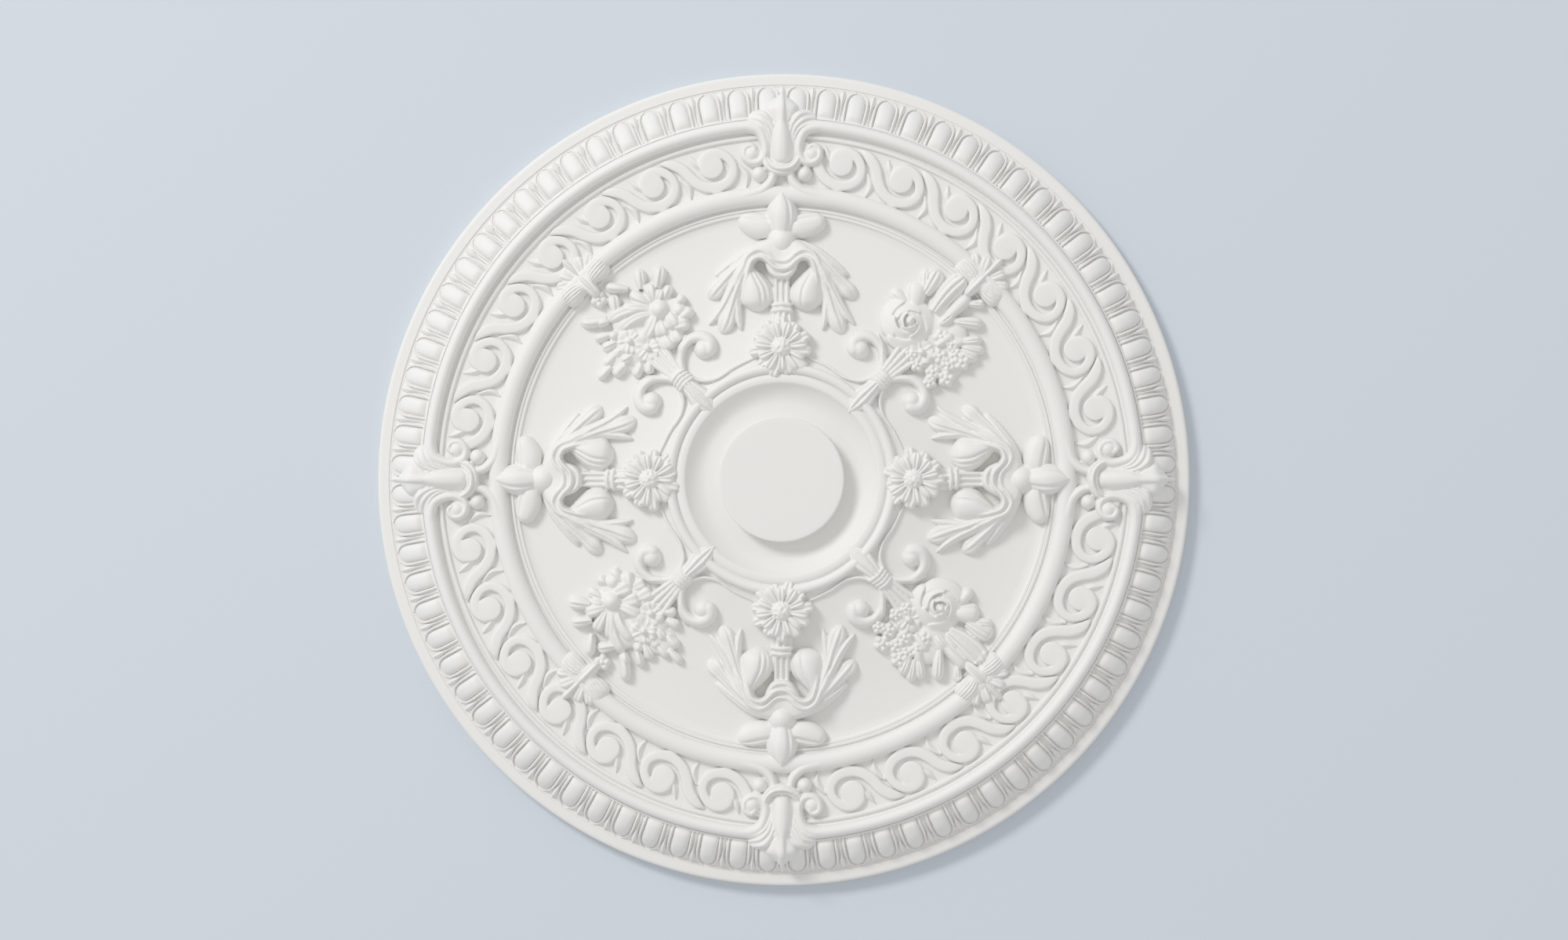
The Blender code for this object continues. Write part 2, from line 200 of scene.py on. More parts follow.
def eased(rows, count):
    """A smooth run of rows through the given rows, evenly spaced in plan."""
    rows = np.array(rows, float)
    reach = np.r_[0.0, np.cumsum(np.hypot(*np.diff(rows[:, :2], axis=0).T))]
    slope = np.gradient(rows, reach, axis=0)
    spots = np.linspace(0.0, reach[-1], count)
    k = np.clip(np.searchsorted(reach, spots, side="right") - 1, 0, len(rows) - 2)
    gap = (reach[k + 1] - reach[k])[:, None]
    u = (spots - reach[k])[:, None] / gap
    start, end = rows[k], rows[k + 1]
    leave, meet = slope[k] * gap, slope[k + 1] * gap
    return (
        (1 + 2 * u) * (1 - u) ** 2 * start
        + u * (1 - u) ** 2 * leave
        + u**2 * (3 - 2 * u) * end
        + u**2 * (u - 1) * meet
    )


def half_round(outer, inner, foot_outer, foot_inner, top, steps=12):
    """Profile points over a roll, from its outer foot to its inner one."""
    rows = []
    for step in range(steps + 1):
        angle = math.pi * step / steps
        radius = between(outer, inner, 0.5 - 0.5 * math.cos(angle))
        foot = between(foot_outer, foot_inner, step / steps)
        rows.append((radius, foot + (top - foot) * math.sin(angle) ** 0.8))
    return rows


def face_profile():
    """Radius and height, in mm, down the turned face from the rim to the centre."""
    s = sizes()
    heights = (
        s.rim_height, s.band_height, s.panel_height, s.field_height, s.dish_height, s.disc_height
    )
    return profile_rows(*[height / MM for height in heights], s.roll_relief / MM)


@functools.cache
def profile_rows(rim, band, panel, field, dish, disc, roll):
    """The profile for these heights, kept so that it isn't worked out again for each piece."""
    edge = panel - 1.0
    rows = [(OUTER, 0.0), (OUTER, 0.5 * rim), (OUTER, rim - 3.0)]
    rows += [
        (OUTER - 3.0 + 3.0 * math.cos(a), rim - 3.0 + 3.0 * math.sin(a))
        for a in np.linspace(0.2, 1.4, 5)
    ]
    rows += [(OUTER - 4.0, rim), (RIM_INNER + 1.0, rim + 0.2), (RIM_INNER + 0.6, rim - 0.7)]
    rows += [(RIM_INNER, rim - 0.8), (RIM_INNER - 0.8, rim - 0.6)]
    ovolo = np.linspace(0.0, 1.0, 12)
    rows += [
        (
            between(RIM_INNER - 1.5, BAND_INNER + 1.6, t),
            between(rim - 1.0, band + 5.0, math.sin(0.5 * math.pi * t)),
        )
        for t in ovolo
    ]
    rows += [
        (BAND_INNER + 1.3, band + 7.0), (BAND_INNER + 0.9, band + 7.8),
        (BAND_INNER + 0.1, band + 7.8),
    ]
    rows += [(BAND_INNER - 0.3, band + 7.0)]
    rows += half_round(BAND_INNER - 0.5, BAND_INNER - 10.5, band + 7.2, panel + 1.0, panel + roll)
    cove = [
        (-11.2, 0.6), (-12.2, 0.4), (-13.0, 1.0), (-13.4, 2.0), (-14.0, 2.4), (-15.8, 2.4),
        (-16.4, 1.9), (-16.8, 0.1),
    ]
    rows += [(BAND_INNER + out, panel + up) for out, up in cove]
    rows += [
        (between(PANEL_OUTER - 5.0, PANEL_INNER + 1.5, t), panel)
        for t in np.linspace(0.0, 1.0, 9)
    ]
    rows += half_round(PANEL_INNER + 0.5, ROLL_INNER, panel + 0.6, panel + 0.4, panel + roll)
    fillets = [
        (-1.0, 0.0), (-2.0, 0.6), (-2.4, 1.8), (-3.8, 1.9), (-4.2, 0.8), (-4.8, 0.5), (-5.2, 1.1),
        (-6.8, 1.0),
    ]
    rows += [(ROLL_INNER + out, panel + up) for out, up in fillets]
    rows += [(ROLL_INNER - 7.3, panel - 0.2), (FIELD_OUTER - 0.3, edge)]
    bell = [(0.0, 0.0), (0.12, 0.03), (0.45, 0.25), (0.75, 0.6), (0.97, 0.96)]
    slope = eased([(1000.0 * share, 1000.0 * rise) for share, rise in bell], 26)[1:] / 1000.0
    rows += [
        (between(FIELD_OUTER, FIELD_INNER, share), between(edge, field, rise))
        for share, rise in slope
    ]
    rows += [(FIELD_INNER + 1.0, field + 0.4)]
    rows += half_round(FIELD_INNER + 0.6, FIELD_INNER - 7.4, field + 0.6, field + 3.2, field + 7.0)
    step = [
        (-7.8, 2.9), (-8.6, 3.6), (-9.4, 4.4), (-11.5, 4.9), (-14.0, 4.8), (-15.4, 4.4),
        (-16.0, 3.6),
    ]
    rows += [(FIELD_INNER + out, field + up) for out, up in step]
    bowl = np.linspace(0.06, 0.94, 14)
    lip = field + 3.0
    rows += [
        (
            between(DISH_OUTER, DISC + 0.4, t),
            dish + (lip - dish) * max(0.0, 1.0 - t / 0.62) ** 2.0,
        )
        for t in bowl
    ]
    rows += [(DISC + 0.3, dish), (DISC, dish + 0.6), (DISC, disc - 1.4)]
    rows += [
        (DISC - 1.4 + 1.4 * math.cos(a), disc - 1.4 + 1.4 * math.sin(a))
        for a in np.linspace(0.3, 1.57, 5)
    ]
    rows += [(DISC * share, disc) for share in (0.9, 0.7, 0.5, 0.3, 0.12)]
    return rows


def ground(radius):
    """Height of the turned face at each radius, in mm."""
    # The first two points lie down the side of the rim, under the face
    rows = np.array(face_profile()[2:])[::-1]
    return np.interp(radius, rows[:, 0], rows[:, 1])


def dome(across):
    """A half-round section.

    A section gives the share of the lift at each place across a band, from -1 at one edge to 1
    at the other.
    """
    return np.sqrt(np.clip(1.0 - across**2, 0.0, 1.0))


def broad_dome(across):
    """A full section, fatter at its edges than a half-round one."""
    return np.clip(1.0 - np.abs(across) ** 2.4, 0.0, 1.0) ** 0.55


def outer_ribs(across):
    """A dome that is smooth on one side and ribbed on the other."""
    groove = 0.5 - 0.5 * np.cos(math.tau * 3.0 * (across - 0.1) / 0.9)
    return dome(across) * np.where(across < 0.1, 1.0, 1.0 - 0.14 * groove)


def flat_top(across):
    """A flat band with steep, slightly rounded edges."""
    return np.clip(1.0 - np.abs(across) ** 7.0, 0.0, 1.0) ** 0.5 * (1.0 - 0.06 * across**2)


def keel(across):
    """A section that rises straight to a ridge."""
    return 1.0 - np.abs(across) ** 1.2


def ribbed(ribs, depth):
    """A rounded section with ribs running along it."""

    def section(across):
        groove = 0.5 - 0.5 * np.cos(math.tau * ribs * (0.5 + 0.5 * across))
        return dome(across) * (1.0 - depth + depth * groove)

    return section


def bud_ribs(across):
    """A swelling form with fine grooves down its flanks and a smooth middle."""
    flank = np.abs(across) - 0.3
    groove = np.where(flank < 0.0, 0.0, 0.5 - 0.5 * np.cos(math.tau * 2.0 * flank / 0.7))
    return dome(across) * (1.0 - 0.13 * groove)


def rimmed(across):
    """A full form with a thin raised rim along its outer edge."""
    groove = np.exp(-(((across + 0.52) / 0.13) ** 2))
    return broad_dome(across) * (1.0 - 0.24 * groove)


def cupped(across):
    """A petal: raised edges, a hollow on each side and a low middle rib."""
    edge = np.clip(1.0 - np.abs(across) ** 6.0, 0.0, 1.0) ** 0.5
    hollow = 0.62 + 0.38 * across**2 + 0.22 * np.exp(-((across / 0.18) ** 2))
    return edge * hollow


def crescent(across):
    """A petal that leans out: it rises from its inner edge to a crisp outer lip."""
    return np.clip(1.0 - np.abs(across) ** 8.0, 0.0, 1.0) ** 0.5 * (0.72 + 0.28 * across)


def rounded(share):
    """Fullness of a round end, from nearly nothing at its tip to 1 where the share reaches 1."""
    return np.sqrt(np.clip(1.0 - np.clip(1.0 - share, 0.0, 1.0) ** 2, 0.0025, 1.0))


def band(bm, rows, section=dome, along=24, across=8, ends=(0.0, 0.0), level=None, mirrored=False):
    """A band of carving along rows of (x, y, half width, lift), closed below the face.

    section gives the share of the lift across it, and ends are the shares of the length
    that round off. level, where it is given, is the height that the lift is measured from.
    """
    spine = eased(rows, along + 1)
    spine[:, 2] = np.maximum(spine[:, 2], 0.05)
    share = np.linspace(0.0, 1.0, along + 1)
    rounding = np.ones(along + 1)
    if ends[0]:
        rounding *= rounded(share / ends[0])
    if ends[1]:
        rounding *= rounded((1.0 - share) / ends[1])
    way = np.gradient(spine[:, :2], axis=0)
    way /= np.linalg.norm(way, axis=1)[:, None]
    side = np.c_[-way[:, 1], way[:, 0]] if mirrored else np.c_[way[:, 1], -way[:, 0]]
    verts = bmesh.ops.create_grid(bm, x_segments=across, y_segments=along, size=1.0)["verts"]
    marks = np.array([vert.co[:2] for vert in verts])
    s, row = marks[:, 0], np.rint((marks[:, 1] + 1.0) / 2.0 * along).astype(int)
    half_width = spine[row, 2] * rounding[row]
    plan = spine[row, :2] + side[row] * (s * half_width)[:, None]
    foot = ground(np.hypot(plan[:, 0], plan[:, 1]))
    lift = spine[row, 3] * rounding[row] * section(s)
    top = foot + lift if level is None else np.maximum(foot - SINK, level + lift)
    for vert, place, height in zip(verts, plan, top):
        vert.co = (place[0] * MM, place[1] * MM, height * MM)
    close_below(bm, verts)


def loft(bm, lines, along=24, across=24, level=None):
    """A skin over lines of (x, y, lift) that run side by side, closed below the face."""
    runs = np.array([eased(line, along + 1) for line in lines])
    # Placed 10 mm apart in the order of the lines, so that the curve across them is even
    order = np.arange(len(lines)) * 10.0
    spread = np.array([eased(np.c_[order, run], across + 1) for run in runs.transpose(1, 0, 2)])
    verts = bmesh.ops.create_grid(bm, x_segments=across, y_segments=along, size=1.0)["verts"]
    marks = np.array([vert.co[:2] for vert in verts])
    column = np.rint((marks[:, 0] + 1.0) / 2.0 * across).astype(int)
    row = np.rint((marks[:, 1] + 1.0) / 2.0 * along).astype(int)
    places = spread[row, column, 1:]
    foot = ground(np.hypot(places[:, 0], places[:, 1])) if level is None else level
    for vert, (x, y, _), height in zip(verts, places, foot + places[:, 2]):
        vert.co = (x * MM, y * MM, height * MM)
    close_below(bm, verts)


def both_lofts(bm, lines, **settings):
    """A skin and its mirror image across the axis of the ornament."""
    loft(bm, lines, **settings)
    loft(bm, [[(-x, y, lift) for x, y, lift in line] for line in lines], **settings)


def close_below(bm, verts):
    """Walls down from the edge of an open patch, and a face under it."""
    rim = list({edge for vert in verts for edge in vert.link_edges if edge.is_boundary})
    grown = bmesh.ops.extrude_edge_only(bm, edges=rim)["geom"]
    low = [item for item in grown if isinstance(item, bmesh.types.BMVert)]
    places = np.array([vert.co[:2] for vert in low])
    depth = ground(np.hypot(places[:, 0], places[:, 1]) / MM) - SINK
    for vert, height in zip(low, depth):
        vert.co.z = min(vert.co.z, height * MM)
    loop = [item for item in grown if isinstance(item, bmesh.types.BMEdge) and item.is_boundary]
    bmesh.ops.contextual_create(bm, geom=loop)


def disc(bm, x, y, radius, lift):
    """A flat round pad with an eased edge."""
    height = lift + SINK
    centre = Vector((x, y, float(ground(math.hypot(x, y))) - SINK + 0.5 * height)) * MM
    made = bmesh.ops.create_cone(
        bm,
        cap_ends=True,
        segments=56,
        radius1=radius * MM,
        radius2=radius * MM,
        depth=height * MM,
        matrix=Matrix.Translation(centre),
    )
    edges = {edge for vert in made["verts"] for edge in vert.link_edges}
    top = [edge for edge in edges if min(vert.co.z for vert in edge.verts) > centre.z]
    bmesh.ops.bevel(
        bm, geom=top, offset=0.9 * MM, segments=3, profile=0.5, affect="EDGES", material=-1
    )


def both_sides(bm, rows, **settings):
    """A band and its mirror image across the axis of the ornament."""
    band(bm, rows, **settings)
    band(bm, [(-row[0], *row[1:]) for row in rows], mirrored=True, **settings)


def repeated(bm, turns):
    """Copies the drawn master to each turn; the master itself goes to the first."""
    master = bm.verts[:] + bm.edges[:] + bm.faces[:]
    for turn in turns[1:]:
        copy = bmesh.ops.duplicate(bm, geom=master)["geom"]
        verts = [item for item in copy if isinstance(item, bmesh.types.BMVert)]
        turned = Matrix.Rotation(math.radians(turn - turns[0]), 3, "Z")
        bmesh.ops.rotate(bm, cent=(0.0, 0.0, 0.0), matrix=turned, verts=verts)
    first = Matrix.Rotation(math.radians(turns[0]), 3, "Z")
    bmesh.ops.rotate(bm, cent=(0.0, 0.0, 0.0), matrix=first, verts=bm.verts[:])


def cast(bm, grain, kept_share, passes=3):
    """One skin over all the shapes drawn so far, its creases eased as a mould leaves them.

    grain is the size in mm of the finest form kept, and kept_share the share of the triangles
    that thinning leaves.
    """
    draft_mesh = bpy.data.meshes.new("draft")
    bm.to_mesh(draft_mesh)
    bm.clear()
    draft = bpy.data.objects.new("draft", draft_mesh)
    bpy.context.scene.collection.objects.link(draft)
    skin = draft.modifiers.new("skin", "REMESH")
    skin.mode = "VOXEL"
    skin.voxel_size = grain * MM
    skin.adaptivity = 0.1 * grain * MM
    ease = draft.modifiers.new("ease", "SMOOTH")
    ease.factor = 0.5
    ease.iterations = passes
    thin = draft.modifiers.new("thin", "DECIMATE")
    thin.ratio = kept_share
    bm.from_object(draft, bpy.context.evaluated_depsgraph_get())
    bpy.data.objects.remove(draft)
    bpy.data.meshes.remove(draft_mesh)


def piece(bm, name, crease=CREASE):
    """Makes the finished piece: welded, facing outwards, smooth, primed and on the frame."""
    bmesh.ops.remove_doubles(bm, verts=bm.verts[:], dist=0.0005 * MM)
    bm.verts.index_update()
    # Thinning shrinks a stray grain to two faces back to back, which are cleared away
    groups = {}
    for face in bm.faces:
        groups.setdefault(frozenset(vert.index for vert in face.verts), []).append(face)
    stray = [face for group in groups.values() if len(group) > 1 for face in group]
    bmesh.ops.delete(bm, geom=stray, context="FACES")
    bmesh.ops.recalc_face_normals(bm, faces=bm.faces[:])
    mesh = bpy.data.meshes.new(name)
    bm.to_mesh(mesh)
    bm.free()
    mesh.shade_smooth()
    mesh.set_sharp_from_angle(angle=math.radians(crease))
    mesh.materials.append(primer_material())
    obj = bpy.data.objects.new(name, mesh)
    bpy.context.scene.collection.objects.link(obj)
    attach(obj, BODY)
    return obj


def add_node(tree, kind, settings=None, links=None, **values):
    """Adds a node: settings are its own fields, links join sockets to it, values set its inputs."""
    node = tree.nodes.new(kind)
    for field, value in (settings or {}).items():
        setattr(node, field, value)
    for name, value in values.items():
        node.inputs[name.replace("_", " ")].default_value = value
    for name, socket in (links or {}).items():
        tree.links.new(socket, node.inputs[name])
    return node


def primer_material():
    """Cast polyurethane foam with a sprayed primer: warm white, matt, with a faint orange-peel."""
    name = "primed_cast_polyurethane"
    if name in bpy.data.materials:
        return bpy.data.materials[name]
    material = bpy.data.materials.new(name)
    material.use_nodes = True
    tree = material.node_tree
    shader = tree.nodes["Principled BSDF"]
    shader.inputs["Base Color"].default_value = linear(bpy.context.scene.rose_finish.primer)
    shader.inputs["Roughness"].default_value = PRIMER_ROUGHNESS
    place = add_node(tree, "ShaderNodeTexCoord")
    # The spray leaves soft low bumps, which show only as a slight break in the sheen
    spray = add_node(
        tree,
        "ShaderNodeTexNoise",
        links={"Vector": place.outputs["Object"]},
        Scale=1.0 / (SPRAY_PITCH * MM),
        Detail=2.0,
    )
    bump = add_node(
        tree,
        "ShaderNodeBump",
        links={"Height": spray.outputs["Fac"]},
        Strength=SPRAY_STRENGTH,
        Distance=SPRAY_DEPTH * MM,
    )
    tree.links.new(bump.outputs["Normal"], shader.inputs["Normal"])
    return material


class ROSE_OT_body(bpy.types.Operator):
    """Turn the slab: rim, ovolo, rolls, panel, field, ring, dish and disc."""

    bl_idname = "rose.body"
    bl_label = "Turned body"

    def execute(self, context):
        bm = bmesh.new()
        rows = face_profile()
        verts = [bm.verts.new((radius * MM, 0.0, height * MM)) for radius, height in rows]
        edges = [bm.edges.new(pair) for pair in zip(verts, verts[1:])]
        bmesh.ops.spin(
            bm,
            geom=verts + edges,
            axis=(0.0, 0.0, 1.0),
            cent=(0.0, 0.0, 0.0),
            angle=math.tau,
            steps=320,
            use_merge=True,
        )
        for height in (0.0, rows[-1][1] * MM):
            rims = [edge for edge in bm.edges if edge.is_boundary]
            loop = [edge for edge in rims if abs(edge.verts[0].co.z - height) < 0.1 * MM]
            bmesh.ops.contextual_create(bm, geom=loop)
        body = piece(bm, "turned_body")
        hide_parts(NODE)
        return {"FINISHED"}


class ROSE_OT_eggs(bpy.types.Operator):
    """Carve the egg-and-dart band inside the rim."""

    bl_idname = "rose.eggs"
    bl_label = "Egg and dart"

    def execute(self, context):
        count = sizes().egg_count
        pitch = 360.0 / count
        turns = [(index + 0.5) * pitch for index in range(count)]
        eggs = bmesh.new()
        egg = [
            (0.0, BAND_INNER + 0.3, 6.8, 0.3),
            (0.0, BAND_INNER + 4.0, 7.0, 3.0),
            (0.0, BAND_INNER + 12.0, 7.2, 4.6),
            (0.0, BAND_INNER + 19.0, 7.2, 5.4),
            (0.0, RIM_INNER - 1.6, 7.2, 5.0),
        ]
        band(eggs, egg, section=broad_dome, along=14, across=12, ends=(0.0, 0.34))
        repeated(eggs, turns)
        piece(eggs, "eggs")
        darts = bmesh.new()
        lip = [
            (8.2, BAND_INNER + 0.3, 1.2, 0.3),
            (8.4, BAND_INNER + 4.0, 1.2, 2.4),
            (8.6, BAND_INNER + 9.0, 1.3, 3.4),
            (8.8, BAND_INNER + 17.0, 1.3, 3.8),
            (8.0, BAND_INNER + 22.4, 1.2, 3.2),
            (5.6, BAND_INNER + 25.8, 1.0, 2.0),
            (2.4, BAND_INNER + 27.4, 0.8, 0.9),
        ]
        both_sides(darts, lip, section=dome, along=14, across=4)
        middle = math.radians(0.5 * pitch)
        # Distance out from the band's inner edge, half width and lift
        dart = [
            (0.3, 1.0, 0.2),
            (9.0, 0.8, 2.4),
            (15.0, 1.2, 3.6),
            (20.5, 2.8, 4.6),
            (23.6, 3.0, 4.2),
            (26.0, 1.5, 3.0),
            (27.6, 0.4, 0.6),
        ]
        rows = [
            (
                (BAND_INNER + y) * math.sin(middle),
                (BAND_INNER + y) * math.cos(middle),
                half_width,
                lift,
            )
            for y, half_width, lift in dart
        ]
        band(darts, rows, section=keel, along=10, across=4)
        repeated(darts, turns)
        piece(darts, "lips_and_darts")
        return {"FINISHED"}


class ROSE_OT_scrolls(bpy.types.Operator):
    """Carve the running scrolls and their small leaves on the flat panel."""

    bl_idname = "rose.scrolls"
    bl_label = "Running scrolls"

    def execute(self, context):
        s = sizes()
        pitch = math.degrees(s.scroll_pitch)
        turns = [
            quarter + 45.0 + (index - (s.scroll_count - 1) / 2) * pitch
            for quarter in QUARTER_TURNS
            for index in range(s.scroll_count)
        ]
        bm = bmesh.new()
        ribbon = [
            (-46.0, 269.6, 0.3, 1.0),
            (-42.0, 269.0, 2.4, 3.2),
            (-36.0, 267.0, 4.6, 4.2),
            (-28.5, 261.5, 5.2, 4.4),
            (-22.5, 252.8, 5.2, 4.4),
            (-16.0, 245.8, 5.1, 4.4),
            (-8.0, 242.3, 5.0, 4.4),
            (0.0, 242.2, 4.9, 4.4),
            (7.3, 245.2, 4.6, 4.4),
            (11.8, 251.0, 4.2, 4.4),
            (12.3, 257.5, 4.1, 4.4),
            (9.0, 264.2, 4.3, 4.4),
            (3.0, 268.6, 4.6, 4.4),
            (-4.0, 269.0, 4.9, 4.4),
            (-9.6, 264.6, 5.0, 4.4),
            (-9.8, 258.8, 4.6, 4.4),
        ]
        band(bm, ribbon, section=flat_top, along=76, across=8)
        disc(bm, -4.7, 258.9, 9.6, 4.3)
        leaves = [
            [(-13.0, 259.0, 2.2, 3.0), (-16.5, 264.0, 3.4, 3.8), (-21.0, 272.0, 0.3, 1.6)],
            [(17.5, 256.0, 1.2, 2.4), (22.0, 245.5, 3.6, 3.8), (19.4, 236.6, 0.3, 1.6)],
        ]
        for rows in leaves:
            band(bm, rows, section=keel, along=10, across=6)
        cast(bm, grain=0.5, kept_share=0.13)
        repeated(bm, turns)
        piece(bm, "running_scrolls", crease=NO_CREASE)
        return {"FINISHED"}


def bearing_point(x, y, degrees, reach):
    """The point at this reach from (x, y), at an angle clockwise from +y."""
    angle = math.radians(degrees)
    return x + reach * math.sin(angle), y + reach * math.cos(angle)


def petal(bm, x, y, degrees, inner, outer, half_width, lift, droop=0.6, blunt=False, **settings):
    """A petal or small leaf that leaves (x, y) at an angle clockwise from +y."""
    bend = between(1.0, droop, 0.5)
    if blunt:
        shape = ((0.0, 0.5, 0.75), (0.35, 0.8, 0.95), (0.7, 1.0, 1.0), (1.0, 0.8, bend))
    else:
        shape = (
            (0.0, 0.45, 0.75), (0.35, 0.85, 0.95), (0.65, 1.0, 1.0), (0.88, 0.72, bend),
            (1.0, 0.1, droop),
        )
    rows = []
    for share, width, height in shape:
        place = bearing_point(x, y, degrees, between(inner, outer, share))
        rows.append((*place, half_width * width, lift * height))
    band(bm, rows, **settings)


def leaf(bm, x, y, end_x, end_y, half_width, lift, bow=0.0, **settings):
    """A blunt leaf or petal from one point to another, that bows sideways, rises and droops."""
    run_x, run_y = end_x - x, end_y - y
    length = math.hypot(run_x, run_y)
    # Share of the length, of the width and of the lift
    shape = (
        (0.0, 0.55, 0.8), (0.3, 0.85, 0.98), (0.6, 1.0, 1.0), (0.85, 0.9, 0.85), (1.0, 0.62, 0.6)
    )
    rows = []
    for t, width, rise in shape:
        shift = bow * math.sin(math.pi * t) / length
        place = (x + t * run_x + shift * run_y, y + t * run_y - shift * run_x)
        rows.append((*place, width * half_width, rise * lift))
    band(bm, rows, **settings)


def button(bm, x, y, radius, lift, seeds=0, level=None):
    """A round boss; with seeds it is pitted like the heart of a sunflower."""
    base = float(ground(math.hypot(x, y))) if level is None else level
    centre = Vector((x, y, base)) * MM
    shape = Matrix.Translation(centre) @ Matrix.Diagonal((radius * MM, radius * MM, lift * MM, 1.0))
    verts = bmesh.ops.create_icosphere(
        bm, subdivisions=4 if seeds else 3, radius=1.0, matrix=shape
    )["verts"]
    if not seeds:
        return
    # Seeds set out as they grow, each a golden angle on from the last
    index = np.arange(seeds)
    reach = radius * 0.95 * np.sqrt((index + 0.5) / seeds)
    turn = index * math.pi * (3.0 - math.sqrt(5.0))
    spots = np.c_[x + reach * np.cos(turn), y + reach * np.sin(turn)] * MM
    size = 1.05 * radius * MM / math.sqrt(seeds)
    for vert in verts:
        away = vert.co - centre
        if away.z <= 0.0:
            continue
        gap = np.hypot(*(spots - np.array(vert.co[:2])).T).min()
        swell = math.sqrt(max(0.0, 1.0 - (gap / size) ** 2))
        vert.co = centre + away * (1.0 + 0.9 * size / (radius * MM) * swell - 0.06)


def blossom(bm, x, y, radius, lift, turn):
    """A small open flower with five rounded petals and a round heart."""
    petals = 5
    half_width = radius * math.sin(math.pi / petals) * 0.92
    for index in range(petals):
        petal(
            bm,
            x,
            y,
            turn + index * 360.0 / petals,
            radius * 0.12,
            radius,
            half_width,
            lift * (1.0 if index % 2 else 0.88),
            section=cupped,
            along=10,
            across=8,
            ends=(0.0, 0.35),
        )
    button(bm, x, y, radius * 0.28, lift * 1.15)


def rosette(bm, x, y, radius, lift, turn=0.0):
    """A small full blossom: five round knobs about a middle one."""
    knobs = 5
    for index in range(knobs):
        knob_x, knob_y = bearing_point(x, y, turn + 360.0 / knobs * index, 0.56 * radius)
        button(bm, knob_x, knob_y, 0.5 * radius, 0.86 * lift)
    button(bm, x, y, 0.36 * radius, lift)


def curled_petal(bm, x, y, start, sweep, reach, half_width, lift):
    """A petal wrapped part of the way round (x, y), that leans out a little towards its far end."""
    widths = (0.3, 0.75, 0.95, 1.0, 1.0, 1.0, 0.95, 0.75, 0.3)
    last = len(widths) - 1
    rows = []
    for step, width in enumerate(widths):
        away = reach * (1.0 + 0.03 * (step - last / 2))
        place = bearing_point(x, y, start + sweep * step / last, away)
        rows.append((*place, half_width * width, lift))
    band(bm, rows, section=crescent, along=28, across=8, ends=(0.12, 0.12))


